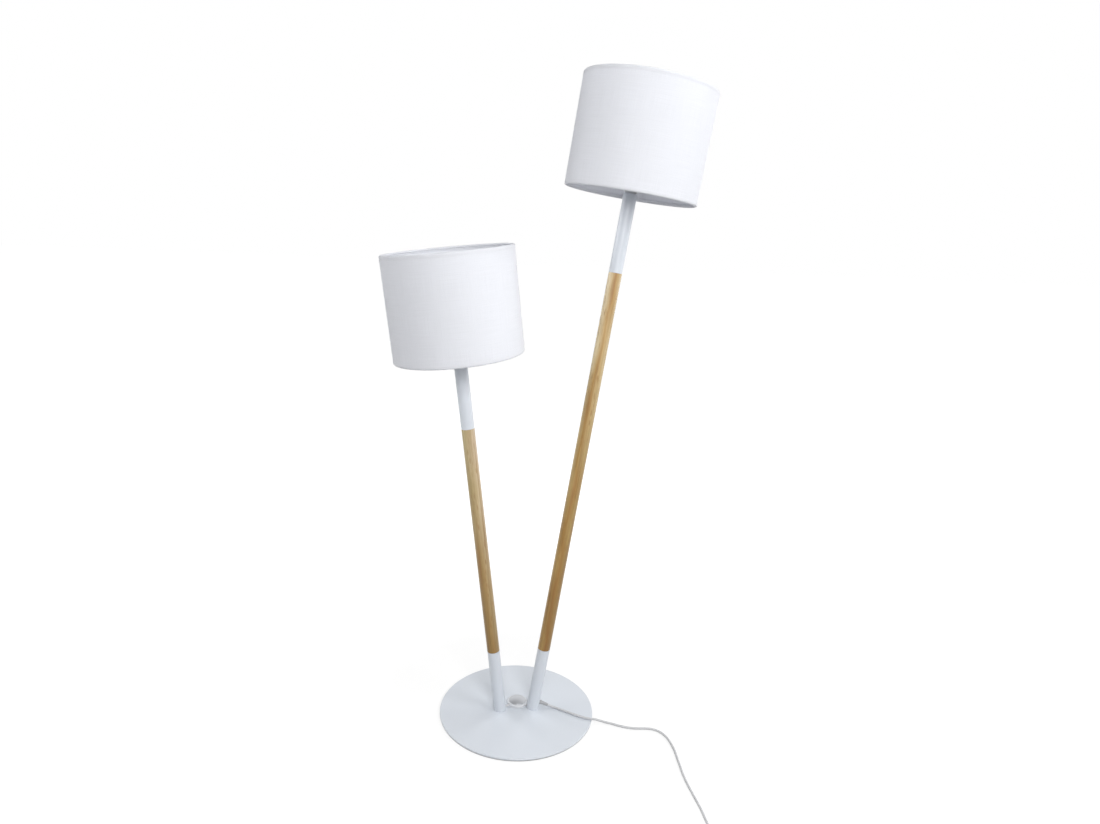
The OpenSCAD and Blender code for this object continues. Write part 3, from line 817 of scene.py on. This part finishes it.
def new_tree(name, sizes):
    """A tree with a named input for each size, whole where its value is whole."""
    tree = bpy.data.node_groups.new(name, "GeometryNodeTree")
    tree.interface.new_socket("Geometry", in_out="INPUT", socket_type="NodeSocketGeometry")
    for label, value in sizes.items():
        kind = "NodeSocketInt" if isinstance(value, int) else "NodeSocketFloat"
        tree.interface.new_socket(label, in_out="INPUT", socket_type=kind).default_value = value
    tree.interface.new_socket("Geometry", in_out="OUTPUT", socket_type="NodeSocketGeometry")
    return tree, add(tree, "NodeGroupInput").outputs


def end_tree(tree, geometry):
    real = add(tree, "GeometryNodeRealizeInstances", {"Geometry": geometry})
    finished = add(tree, "GeometryNodeSetMaterial", {"Geometry": real.outputs[0]})
    add(tree, "NodeGroupOutput", {"Geometry": finished.outputs[0]})
    print("tree:", tree.name, "nodes:", len(tree.nodes))
    return tree


def lathe_tree():
    tree, sizes = new_tree("lathe", {"Steps": 192, "Points": 60, "Arc": 2 * math.pi})
    columns = maths(tree, "ADD", sizes["Points"], 1)
    rows = maths(tree, "ADD", sizes["Steps"], 1)
    grid = add(tree, "GeometryNodeMeshGrid", {"Vertices X": rows, "Vertices Y": columns})
    index = add(tree, "GeometryNodeInputIndex").outputs[0]
    row = maths(tree, "FLOOR", maths(tree, "DIVIDE", index, columns))
    column = maths(tree, "SUBTRACT", index, maths(tree, "MULTIPLY", row, columns))
    turned = maths(tree, "DIVIDE", row, sizes["Steps"])
    kept = add(tree, "GeometryNodeStoreNamedAttribute", {
        "Geometry": grid.outputs["Mesh"], "Name": "row_column",
        "Value": combine(tree, X=turned, Y=column),
    }, data_type="FLOAT_VECTOR", domain="POINT")
    spot = add(tree, "GeometryNodeSampleIndex", {
        "Geometry": sizes["Geometry"], "Value": add(tree, "GeometryNodeInputPosition").outputs[0],
        "Index": maths(tree, "MODULO", column, sizes["Points"]),
    }, data_type="FLOAT_VECTOR", domain="POINT")
    place = split(tree, spot.outputs[0])
    angle = maths(tree, "MULTIPLY", turned, sizes["Arc"])
    x = maths(tree, "MULTIPLY", place["X"], maths(tree, "COSINE", angle))
    y = maths(tree, "MULTIPLY", place["X"], maths(tree, "SINE", angle))
    shaped = add(tree, "GeometryNodeSetPosition", {
        "Geometry": kept.outputs[0], "Position": combine(tree, X=x, Y=y, Z=place["Z"]),
    })
    named = add(
        tree, "GeometryNodeInputNamedAttribute", {"Name": "row_column"}, data_type="FLOAT_VECTOR"
    )
    mapped = add(tree, "GeometryNodeStoreNamedAttribute", {
        "Geometry": shaped.outputs[0], "Name": "cloth", "Value": named.outputs[0],
    }, data_type="FLOAT2", domain="CORNER")
    joined = add(tree, "GeometryNodeMergeByDistance", {
        "Geometry": mapped.outputs[0], "Distance": WELD,
    })
    return end_tree(tree, joined.outputs[0])


LATHE = lathe_tree()

# %% [markdown]
# A tree works as a modifier on an object. Its inputs are set by the sockets'
# identifiers, the result is read back as a plain mesh, and the modifier goes.
# Faces are then turned outwards and smoothed, apart from sharp edges.

# %% Run a tree
AXIS_R = 0.02 * MM
SHARP_TURNED, SHARP_SWEPT, SHARP_LOFTED = 35, 60, 40


def run_tree(name, mesh, tree, mat, sizes, sharp):
    """A plain object with what a tree makes of a mesh."""
    piece = put(name, mesh)
    for node in tree.nodes:
        if node.bl_idname == "GeometryNodeSetMaterial":
            node.inputs["Material"].default_value = mat
    modifier = piece.modifiers.new("rule", "NODES")
    modifier.node_group = tree
    for item in tree.interface.items_tree:
        if item.in_out == "INPUT" and item.name in sizes:
            modifier[item.identifier] = sizes[item.name]
    graph = bpy.context.evaluated_depsgraph_get()
    made = bpy.data.meshes.new_from_object(piece.evaluated_get(graph), depsgraph=graph)
    made.name = name
    piece.modifiers.remove(modifier)
    piece.data = made
    bpy.data.meshes.remove(mesh)
    outward(made)
    smooth(made, sharp)
    return piece


def outward(mesh):
    """Merges doubles and turns every face outwards."""
    shape = bmesh.new()
    shape.from_mesh(mesh)
    bmesh.ops.remove_doubles(shape, verts=shape.verts, dist=WELD)
    bmesh.ops.recalc_face_normals(shape, faces=shape.faces)
    shape.to_mesh(mesh)
    shape.free()


def smooth(mesh, sharp):
    mesh.shade_smooth()
    mesh.set_sharp_from_angle(angle=math.radians(sharp))


def lathe(name, outline, mat, steps=192, turn=2 * math.pi):
    """A closed outline of (radius, height) swept round the upright axis."""
    count = len(outline)
    mesh = bpy.data.meshes.new(name)
    mesh.from_pydata(
        [(r, 0, z) for r, z in outline], [(i, (i + 1) % count) for i in range(count)], []
    )
    sizes = {"Steps": steps, "Points": count, "Arc": turn}
    return run_tree(name, mesh, LATHE, mat, sizes, SHARP_TURNED)


def in_mm(points, lift=0.0):
    """An outline given in millimetres, lifted, with no point right on the axis."""
    return [(max(r * MM, AXIS_R), lift + z * MM) for r, z in points]


print("lathe ready")

# %% [markdown]
# The lathe leaves the UV map in steps of the grid. It is scaled here to metres
# round the drum and along the section, so the weave has its real size on the
# drum and on its two turned-over hems. The lap, where the ends of the cloth are
# glued, spans only a short arc with the same length of map, so its weave comes
# out too fine. Hems and lap are thin bands laid on the drum. The inner faces
# get the liner.

# %% Parts of a drum
LAP_W = 14 * MM
LAP_PROUD, LAP_EDGE = 0.28 * MM, (0.1 * MM, 0.3 * MM)
HEM_PROUD, HEM_EDGE = 0.12 * MM, (0.08 * MM, 0.25 * MM)
HEM_FOOT = 2.4 * MM


def scale_cloth_map(mesh, outline):
    along = [0.0]
    for a, b in zip(outline, outline[1:] + outline[:1]):
        along.append(along[-1] + (Vector(b) - Vector(a)).length)
    for corner in mesh.uv_layers["cloth"].data:
        turned, column = corner.uv
        corner.uv = (turned * 2 * math.pi * SHADE_R, along[int(round(column))])


def cloth_band(name, low, high, proud, edge, **sweep):
    """A band laid on the drum, a hair proud of it, with its edges eased."""
    inside, outside = SHADE_R - 0.1 * MM, SHADE_R + proud
    ease_r, ease_z = edge
    outline = [
        (inside, low), (outside - ease_r, low), (outside, low + ease_z),
        (outside, high - ease_z), (outside - ease_r, high), (inside, high),
    ]
    band = lathe(name, outline, cotton, **sweep)
    scale_cloth_map(band.data, outline)
    return band


def line_inside(mesh, mat):
    """The liner's finish on the inner faces, up to the beads round the rings."""
    mesh.materials.append(mat)
    low, high = RING_Z + BEAD_R, SHADE_H - RING_Z - BEAD_R
    for face in mesh.polygons:
        middle = face.center
        if middle.xy.length < SHADE_R - 0.8 * WALL and low < middle.z < high:
            face.material_index = 1


def mesh_from(shape, name, mats):
    """The bmesh as a mesh with its finishes. The bmesh is freed."""
    mesh = bpy.data.meshes.new(name)
    shape.to_mesh(mesh)
    shape.free()
    for mat in mats:
        mesh.materials.append(mat)
    return mesh


def join(name, parts):
    """One object from several, with all their finishes."""
    shape = bmesh.new()
    mats = []
    for part in parts:
        start = len(shape.faces)
        shape.from_mesh(part.data)
        shape.faces.ensure_lookup_table()
        for face in shape.faces[start:]:
            face.material_index += len(mats)
        mats += list(part.data.materials)
    for part in parts:
        bpy.data.objects.remove(part)
    return put(name, mesh_from(shape, name, mats))


print("hem: %.0f mm, lap: %.0f mm" % (HEM / MM, LAP_W / MM))

# %% [markdown]
# Both shades are the same drum. The lap is turned to the back of each, where
# the photograph doesn't show it, and then the drum goes on its pole. Each
# finished piece is hung under the body it moves with, and the solids it
# replaces are hidden.

# %% Drums of cloth
LAP_TURN = {"left": 118, "right": 62}


def declare(piece, slot, *solids, body="lamp"):
    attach(piece, body)
    if solids:
        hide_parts(*solids)
    print(piece.name, "replaces:", ", ".join(solids) or "no solid")


for label, side in SIDES.items():
    drum = lathe("drum", section, cotton)
    scale_cloth_map(drum.data, section)
    line_inside(drum.data, liner)
    lap = cloth_band(
        "lap", HEM, SHADE_H - HEM, LAP_PROUD, LAP_EDGE, steps=8, turn=LAP_W / SHADE_R
    )
    lap.data.transform(Matrix.Rotation(math.radians(LAP_TURN[label]), 4, "Z"))
    low_hem = cloth_band("low_hem", HEM_FOOT, HEM, HEM_PROUD, HEM_EDGE)
    high_hem = cloth_band("high_hem", SHADE_H - HEM, SHADE_H - HEM_FOOT, HEM_PROUD, HEM_EDGE)
    shade = join("shade_cloth_" + label, [drum, lap, low_hem, high_hem])
    shade.data.transform(pole_frame(side, SHADE_S[label]))
    declare(shade, "shade_fabric", "shade_drum_" + label)

# %% [markdown]
# ## Foot button
# The button is a turned metal cap with a low crown. The lathe makes it again,
# finer than the solid and with a rounded edge. A black stem under it goes down
# into the switch.

# %% Button
BUTTON_R = 20.5 * MM
BUTTON_RISE = 4.4 * MM
BUTTON_RIM_Z = BASE_TOP + 8.1 * MM
BUTTON_SKIRT_Z = BASE_TOP + 4.7 * MM
BUTTON_WALL = 1.6 * MM
BUTTON_EDGE = 0.6 * MM
BUTTON_EDGE_DROP = 0.45 * MM


def crown(radius, top, rise, steps):
    """A low dome from its edge to the axis, part of a large ball."""
    ball = (radius * radius + rise * rise) / (2 * rise)
    out = []
    for i in range(steps + 1):
        x = radius * math.cos(math.pi / 2 * i / steps)
        out.append((max(x, AXIS_R), top - ball + math.sqrt(ball * ball - x * x)))
    return out


def button_outline():
    top = BUTTON_RIM_Z + BUTTON_RISE
    ease = 0.2 * MM
    edge_centre = (BUTTON_R - BUTTON_EDGE, BUTTON_RIM_Z - BUTTON_EDGE_DROP)
    skirt = [
        (BUTTON_R - BUTTON_WALL, BUTTON_SKIRT_Z), (BUTTON_R - ease, BUTTON_SKIRT_Z),
        (BUTTON_R, BUTTON_SKIRT_Z + ease),
    ]
    edge = arc(edge_centre, BUTTON_EDGE, 0, 68, 6)
    outer = crown(BUTTON_R - BUTTON_EDGE, top, BUTTON_RISE, 24)
    inner = crown(BUTTON_R - BUTTON_WALL, top - BUTTON_WALL, BUTTON_RISE, 16)
    return skirt + edge + outer + list(reversed(inner))


cap = lathe("cap", button_outline(), button_metal, 96)
stem_outline = in_mm([(0, 8.4), (3, 8.4), (3, 11.4), (0, 11.4)], BASE_TOP)
stem = lathe("stem", stem_outline, black_plastic, 32)
button = join("foot_button_cap", [cap, stem])
button.data.transform(Matrix.Translation(SWITCH_AT))
declare(button, "button_metal", "switch_button", body="foot_button")

# %% [markdown]
# ## Threads
# The lampholder's skirt has an outer thread for the clamp ring, and the brass
# shell inside has the rolled thread of a screw-cap bulb. A thread is a helix,
# so a tree sweeps a small ridge along a spiral.

# %% Threads in Geometry Nodes
HOLDER_CAP_H = 21 * MM
BLOCK_TOP = HOLDER_CAP_H + 9.1 * MM
# name, finish, slot, height above the tube, and the thread's sizes
HOLDER_THREADS = [
    ("skirt_thread_", housing_white, "white_plastic", 34.5 * MM, {
        "Turns": 8.0, "Radius": 19.65 * MM, "Height": 20 * MM, "Ridge": 0.45 * MM, "Steps": 64,
    }),
    ("shell_thread_", brass, "brass", BLOCK_TOP + 4 * MM, {
        "Turns": 4.0, "Radius": 13.55 * MM, "Height": 14.5 * MM, "Ridge": 0.5 * MM, "Steps": 64,
    }),
]


def ridge_along(tree, curve, ridge):
    """A round ridge swept along a curve, closed at its ends."""
    profile = add(tree, "GeometryNodeCurvePrimitiveCircle", {"Resolution": 8, "Radius": ridge})
    return add(tree, "GeometryNodeCurveToMesh", {
        "Curve": curve, "Profile Curve": profile.outputs[0], "Fill Caps": True,
    }).outputs[0]


def thread_tree():
    tree, sizes = new_tree(
        "thread", {"Turns": 4.0, "Radius": 0.02, "Height": 0.02, "Ridge": 0.0004, "Steps": 48}
    )
    spiral = add(tree, "GeometryNodeCurveSpiral", {
        "Resolution": sizes["Steps"], "Rotations": sizes["Turns"], "Start Radius": sizes["Radius"],
        "End Radius": sizes["Radius"], "Height": sizes["Height"],
    })
    return end_tree(tree, ridge_along(tree, spiral.outputs[0], sizes["Ridge"]))


def grown(name, tree, mat, sizes):
    """A piece that a tree makes from its sizes alone."""
    return run_tree(name, bpy.data.meshes.new(name), tree, mat, sizes, SHARP_SWEPT)


THREAD_TREE = thread_tree()
for label, side in SIDES.items():
    for name, mat, slot, height, thread in HOLDER_THREADS:
        piece = grown(name + label, THREAD_TREE, mat, thread)
        piece.data.transform(pole_frame(side, SHADE_S[label] + TUBE_TUCK + height))
        declare(piece, slot)

# %% [markdown]
# The button's return spring is a helix too, so the same tree makes it. It
# stands on the switch's core. The real spring shortens when the button is
# pressed; here it keeps its rest length.

# %% Return spring
SPRING_FOOT_Z = 11 * MM
SPRING_WIRE_R = 0.35 * MM
SPRING_R = 4.4 * MM
SPRING_H = 4.2 * MM
spring = grown("return_spring", THREAD_TREE, zinc, {
    "Turns": 3.0, "Radius": SPRING_R, "Height": SPRING_H, "Ridge": SPRING_WIRE_R, "Steps": 32,
})
spring_low = Vector((0, 0, SPRING_FOOT_Z + SPRING_WIRE_R))
spring.data.transform(Matrix.Translation(SWITCH_AT + spring_low))
declare(spring, "steel", "switch_spring")
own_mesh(spring)

# %% [markdown]
# ## Cords
# Short leads run inside the poles, and the mains cord leaves the right foot. A
# cord is one smooth curve through listed points. Extra points are put
# between them by a Catmull-Rom spline, so that no bend has a corner, and the
# curve's own bevel gives it its thickness.


# %% Smooth lines
def catmull_rom(points, steps):
    points = [Vector(p) for p in points]
    padded = [2 * points[0] - points[1]] + points + [2 * points[-1] - points[-2]]
    out = []
    for a, b, c, d in zip(padded, padded[1:], padded[2:], padded[3:]):
        for i in range(steps):
            t = i / steps
            out.append(0.5 * (
                2 * b + (c - a) * t + (2 * a - 5 * b + 4 * c - d) * t ** 2
                + (3 * b - a - 3 * c + d) * t ** 3
            ))
    out.append(points[-1])
    return out


def length_of(points):
    return sum((b - a).length for a, b in zip(points, points[1:]))


def cord_curve(name, points, diameter, mat):
    curve = bpy.data.curves.new(name, "CURVE")
    curve.dimensions = "3D"
    curve.bevel_depth = diameter / 2
    curve.bevel_resolution = 5
    curve.use_fill_caps = True
    spline = curve.splines.new("POLY")
    spline.points.add(len(points) - 1)
    for knot, point in zip(spline.points, points):
        knot.co = (*point, 1)
    spline.use_smooth = True
    curve.materials.append(mat)
    print("%s: %.3f m" % (name, length_of(points)))
    return put(name, curve)


# %% [markdown]
# Two leads leave the switch through its wall. Each runs just over the base,
# enters a foot through its channel and turns up inside the pole. Points in a
# pole are given in its own directions, so they lean with it.

# %% Inner leads
LEAD_Z = 8.4 * MM
LEAD_ENTRY = Vector((31.2, 1.6)) * MM
SWITCH_WALL = 21.8 * MM
LEAD_STRAIGHT = 25 * MM
LEAD_MOUTH = 3 * MM
POLE_LEADS = {
    "left": (("sheathed_lead_left", "lead_left"), [
        (4, 0, 50), (1, 0, 80), (0, 0, 110), (0, 0, 500), (0, 0, 912),
    ]),
    "right": (("sheathed_lead_switch", "switch_link"), [(5, 0, 42), (3, 0, 60), (3, 0, 70)]),
}


def beside(side, inward, y, along):
    """A point beside a pole's axis; inward is towards the switch. Sizes in mm."""
    return pole_frame(side) @ (Vector((-side * inward, y, along)) * MM)


def lead_foot(side):
    """A lead's first stretch, from the switch's wall to inside a foot."""
    start = SWITCH_AT.xy
    run = Vector((side * LEAD_ENTRY.x, LEAD_ENTRY.y)) - start
    way = run.normalized()
    reaches = (SWITCH_WALL, LEAD_STRAIGHT, run.length - LEAD_MOUTH, run.length)
    return [Vector((*(start + way * reach), LEAD_Z)) for reach in reaches] + [
        beside(side, 7.4, 0.6, 6.4), beside(side, 7, 0.2, 9), beside(side, 7, 0, 14),
        beside(side, 7, 0, 24),
    ]


def inner_lead(name, node, points, diameter):
    declare(cord_curve(name, catmull_rom(points, 4), diameter, cord_sheath), "cord", node)


for label, (names, climb) in POLE_LEADS.items():
    side = SIDES[label]
    route = lead_foot(side) + [beside(side, *spot) for spot in climb]
    inner_lead(*names, route, LEAD_D)

# %% [markdown]
# The mains cord comes out of a moulded relief on the right foot, drops to the
# base, runs over its rim and out on the floor. What the photograph doesn't
# show is wound in a small coil: six turns in two layers, in and out again,
# which end in a straight stretch and the plug.

# %% Route of the mains cord
GLAND_AT = Vector((58, 0, 20)) * MM
GLAND_PITCH = math.radians(110)
GLAND_TURN = math.radians(-10)
GLAND_TAIL = 22 * MM
GLAND_AXIS = Vector((
    math.sin(GLAND_PITCH) * math.cos(GLAND_TURN),
    math.sin(GLAND_PITCH) * math.sin(GLAND_TURN),
    math.cos(GLAND_PITCH),
))
# places in mm: off the foot, over the base, over its rim, along the floor and
# up a little to the coil
ON_PLATE, ON_FLOOR = 8.5, 3
PLATE_WAY = [
    (98, -12), (108, -19), (118, -26), (129, -35), (142, -44), (155, -53), (166, -59),
    (177, -63), (188, -66),
]
FLOOR_WAY = [
    (227, -79), (241, -87), (255, -94), (270, -99), (284, -102), (298, -103), (313, -105),
    (327, -111), (338, -121), (345, -134), (349, -148), (351, -163), (352, -178),
    (352, -193), (351, -208), (350, -223), (349, -238), (348, -253), (347, -268),
    (347, -283), (347, -298), (348, -313), (349, -328), (350, -343), (351, -358),
    (352, -373), (352, -388), (352, -403), (352, -418),
]
MAINS_ROUTE = [(88, -7, 9.5)] + [(x, y, ON_PLATE) for x, y in PLATE_WAY]
MAINS_ROUTE += [(200, -69, 6), (213, -73, 3.6)] + [(x, y, ON_FLOOR) for x, y in FLOOR_WAY]
MAINS_ROUTE += [(352, -433, 3.1), (352, -448, 3.4), (352, -462, 3.7), (352, -468, 3.7)]
COIL_START = Vector(MAINS_ROUTE[-1]) * MM
COIL_TURNS = 6
COIL_STEPS = 36
COIL_MID_R = 31 * MM
TURN_PITCH = 5.9 * MM
COIL_EXIT = 42 * MM
LAYER_TURNS = COIL_TURNS / 2
COIL_INNER_R = COIL_MID_R - LAYER_TURNS * TURN_PITCH / 2
COIL_OUTER_R = COIL_MID_R + LAYER_TURNS * TURN_PITCH / 2
COIL_CENTRE = COIL_START + Vector((COIL_OUTER_R, -CORD_D, 0))


def coil_point(turn):
    """A point on the coil: in by a pitch each turn, up a layer, and out again."""
    radius = COIL_INNER_R + abs(turn - LAYER_TURNS) * TURN_PITCH
    rise = TURN_PITCH * min(1, max(0, (turn - LAYER_TURNS) / 0.5 + 0.5))
    angle = 2 * math.pi * turn
    return COIL_CENTRE + Vector((-radius * math.cos(angle), -radius * math.sin(angle), rise))


gland_end = GLAND_AT + GLAND_AXIS * GLAND_TAIL
loose = catmull_rom(
    [gland_end, gland_end + GLAND_AXIS * CORD_D]
    + [Vector(p) * MM for p in MAINS_ROUTE], 2
)
coiled = [coil_point(i / COIL_STEPS) for i in range(COIL_TURNS * COIL_STEPS + 1)]
plug_at = coiled[-1] + Vector((0, -COIL_EXIT, 0))
cord_line = loose + coiled + [plug_at]

# %% [markdown]
# The moulded relief is ribbed, so that it bends more easily towards its tip.
# The ribs repeat along an axis: a tree puts a ring at each step, each one a
# little smaller than the last, and a short tail goes on inside the foot.


# %% Relief
def rib_tree():
    tree, sizes = new_tree(
        "ribs", {"Count": 6, "Length": 0.014, "Big": 0.004, "Small": 0.003, "Ridge": 0.0006}
    )
    gaps = maths(tree, "SUBTRACT", sizes["Count"], 1)
    step = combine(tree, Z=maths(tree, "DIVIDE", sizes["Length"], gaps))
    line = add(tree, "GeometryNodeMeshLine", {"Count": sizes["Count"], "Offset": step})
    ring = add(tree, "GeometryNodeCurvePrimitiveCircle", {"Resolution": 40, "Radius": 1.0})
    share = maths(tree, "DIVIDE", add(tree, "GeometryNodeInputIndex").outputs[0], gaps)
    spread = maths(tree, "SUBTRACT", sizes["Small"], sizes["Big"])
    rings = add(tree, "GeometryNodeInstanceOnPoints", {
        "Points": line.outputs[0], "Instance": ring.outputs[0],
        "Scale": maths(tree, "MULTIPLY_ADD", share, spread, sizes["Big"]),
    })
    real = add(tree, "GeometryNodeRealizeInstances", {"Geometry": rings.outputs[0]})
    return end_tree(tree, ridge_along(tree, real.outputs[0], sizes["Ridge"]))


RIB_TREE = rib_tree()
GLAND_ROOT = 6
GLAND_RIBS_AT = 5.4 * MM
TAIL_START = 7 * MM
gland_body = lathe("gland_body", in_mm([
    (0, -GLAND_ROOT), (4.2, -GLAND_ROOT), (4.2, 1.8), (5.2, 1.8), (5.6, 2.2), (5.6, 2.9),
    (5.2, 3.4), (4.4, 3.9), (3.1, 21.4), (2.75, 22), (0, 22),
]), relief_grey_painted_shade, 48)
gland_ribs = grown("gland_ribs", RIB_TREE, relief_grey_painted_shade, {
    "Count": 7, "Length": 14.4 * MM, "Big": 4.1 * MM, "Small": 3.2 * MM, "Ridge": 0.5 * MM,
})
gland_ribs.data.transform(Matrix.Translation((0, 0, GLAND_RIBS_AT)))
gland = join("cord_relief", [gland_body, gland_ribs])
gland.data.transform(
    Matrix.Translation(GLAND_AT)
    @ Matrix.Rotation(GLAND_TURN, 4, "Z") @ Matrix.Rotation(GLAND_PITCH, 4, "Y")
)
declare(gland, "cord", "cord_gland")
inner_lead("mains_tail_inside", "mains_tail", [
    GLAND_AT - GLAND_AXIS * TAIL_START, beside(1, -4.6, 0.8, 20), beside(1, -3.2, 0, 27),
    beside(1, -3, 0, 40), beside(1, -3, 0, 70),
], CORD_D)

# %% [markdown]
# ## Plug and tie
# The plug is a flat two-pin one, moulded on the cord. Its body is a stack of
# rounded outlines that a loft skins, wide at the face and narrower where
# fingers hold it, with grip ridges there.


# %% Loft
def rounded_loop(half_w, half_t, corner, steps=6):
    """A rounded rectangle. Sizes in mm, points in metres."""
    out = []
    for quarter, (sx, sy) in enumerate(((1, 1), (-1, 1), (-1, -1), (1, -1))):
        centre = (sx * (half_w - corner), sy * (half_t - corner))
        out += arc(centre, corner, 90 * quarter, 90 * (quarter + 1), steps)
    return [(x * MM, y * MM) for x, y in out]


def loft(name, loops, mat, ring=False):
    """Skins loops of (height in mm, points): capped, or as a ring back to the first."""
    shape = bmesh.new()
    rows = [[shape.verts.new((x, y, z * MM)) for x, y in loop] for z, loop in loops]
    if ring:
        rows.append(rows[0])
    else:
        shape.faces.new(list(reversed(rows[0])))
        shape.faces.new(rows[-1])
    for below, above in zip(rows, rows[1:]):
        for i in range(len(below)):
            j = (i + 1) % len(below)
            shape.faces.new((below[i], below[j], above[j], above[i]))
    bmesh.ops.recalc_face_normals(shape, faces=shape.faces)
    mesh = mesh_from(shape, name, [mat])
    smooth(mesh, SHARP_LOFTED)
    return put(name, mesh)


print("loft ready")

# %% [markdown]
# The plug's widths and thicknesses are read from the cord's end to the face.
# The round neck takes the ribs, and the four ridges on each flat side are the
# same small lofted bar.

# %% Plug
# place along, half width, half thickness, in mm
PLUG_STATIONS = [
    (0, 2.9, 2.9), (0.6, 3.5, 3.5), (12, 5.0, 5.0), (13.5, 8.5, 6.8), (16, 11.5, 8.3),
    (19, 12.2, 8.7), (23, 12.0, 8.4), (27, 12.6, 8.6), (30.5, 14.0, 9.0),
    (33.2, 14.6, 9.0), (34, 14.0, 8.6),
]
NECK_END = 13
NECK_ROUND, BODY_ROUND = 0.98, 0.72
GRIPS = 4
GRIP_FIRST, GRIP_STEP, GRIP_OUT = 19.6, 2.2, 8.45
PLUG_RIBS_AT = 2.4 * MM


def plug_shape():
    loops = []
    for z, half_w, half_t in PLUG_STATIONS:
        corner = half_t * (NECK_ROUND if z < NECK_END else BODY_ROUND)
        loops.append((z, rounded_loop(half_w, half_t, corner)))
    return loft("plug_shape", loops, cord_sheath)


def plug_grip(face, k):
    """A low bar across a flat side, pointed at both ends."""
    tip = rounded_loop(0.2, 0.2, 0.15, 2)
    bar = rounded_loop(0.55, 0.5, 0.4, 2)
    ridge = loft("ridge", [(-7.4, tip), (-6.6, bar), (6.6, bar), (7.4, tip)], cord_sheath)
    at = Vector((0, face * GRIP_OUT, GRIP_FIRST + GRIP_STEP * k)) * MM
    ridge.data.transform(Matrix.Translation(at) @ Matrix.Rotation(math.radians(90), 4, "Y"))
    return ridge


plug_turn = Matrix.Translation(plug_at) @ Matrix.Rotation(math.radians(90), 4, "X")
plug_ribs = grown("plug_ribs", RIB_TREE, cord_sheath, {
    "Count": 5, "Length": 8.4 * MM, "Big": 3.75 * MM, "Small": 4.75 * MM, "Ridge": 0.4 * MM,
})
plug_ribs.data.transform(Matrix.Translation((0, 0, PLUG_RIBS_AT)))
grips = [plug_grip(face, k) for face in (-1, 1) for k in range(GRIPS)]
plug = join("moulded_plug", [plug_shape(), plug_ribs] + grips)
plug.data.transform(plug_turn)
declare(plug, "cord", "plug_body")

# %% [markdown]
# Each pin is nickel-plated with a rounded tip, and wears an insulating sleeve
# near the body. Both are turned shapes, so the lathe makes them.

# %% Pins
PLUG_LEN = 34 * MM
PIN_GAP = 18.6 * MM


def pin(x):
    sleeve = lathe("sleeve", in_mm([
        (0, 0), (1.98, 0), (1.98, 9.8), (1.88, 10), (0, 10),
    ], PLUG_LEN), cord_sheath, 32)
    metal = lathe("metal", in_mm([
        (0, 9.9), (1.9, 9.9), (1.9, 18), (1.5, 18.65), (0.9, 19), (0, 19),
    ], PLUG_LEN), nickel, 32)
    piece = join("pin", [sleeve, metal])
    piece.data.transform(Matrix.Translation((x, 0, 0)))
    return piece


pins = join("plug_pin_pair", [pin(-PIN_GAP / 2), pin(PIN_GAP / 2)])
pins.data.transform(plug_turn)
declare(pins, "pin_metal", "plug_pins")

# %% [markdown]
# A napped black strap holds the coil. It is a flat closed band, lofted as a
# ring round both layers of turns on the coil's right side.

# %% Tie
STRAP_HALF_H = 4
STRAP_T = 0.6
STRAP_CORNER = 4.2
STRAP_ROOM_W, STRAP_ROOM_T = 0.6, 0.2


def strap():
    half_w = (COIL_OUTER_R - COIL_INNER_R + CORD_D) / MM / 2 + STRAP_ROOM_W
    half_t = (TURN_PITCH + CORD_D) / MM / 2 + STRAP_ROOM_T
    inner = rounded_loop(half_w, half_t, STRAP_CORNER, 8)
    outer = rounded_loop(half_w + STRAP_T, half_t + STRAP_T, STRAP_CORNER + STRAP_T, 8)
    piece = loft("coil_strap", [
        (-STRAP_HALF_H, outer), (STRAP_HALF_H, outer), (STRAP_HALF_H, inner),
        (-STRAP_HALF_H, inner),
    ], pad_felt, ring=True)
    at = COIL_CENTRE + Vector((COIL_MID_R, 0, TURN_PITCH / 2))
    piece.data.transform(Matrix.Translation(at) @ Matrix.Rotation(math.radians(-90), 4, "X"))
    return piece


tie = strap()
declare(tie, "dark_plastic", "cord_tie")

# %% [markdown]
# The mains cord is one curve from the relief to the plug, coil included. It
# takes the place of the solid cord and its coil.

# %% Mains cord
mains = cord_curve("mains_lead", cord_line, CORD_D, cord_sheath)
declare(mains, "cord", "mains_cord", "cord_coil")

# %% [markdown]
# ## Last update
# The view layer is updated once more, so that every piece stands where it has
# been put.

# %% Update the view layer
bpy.context.view_layer.update()
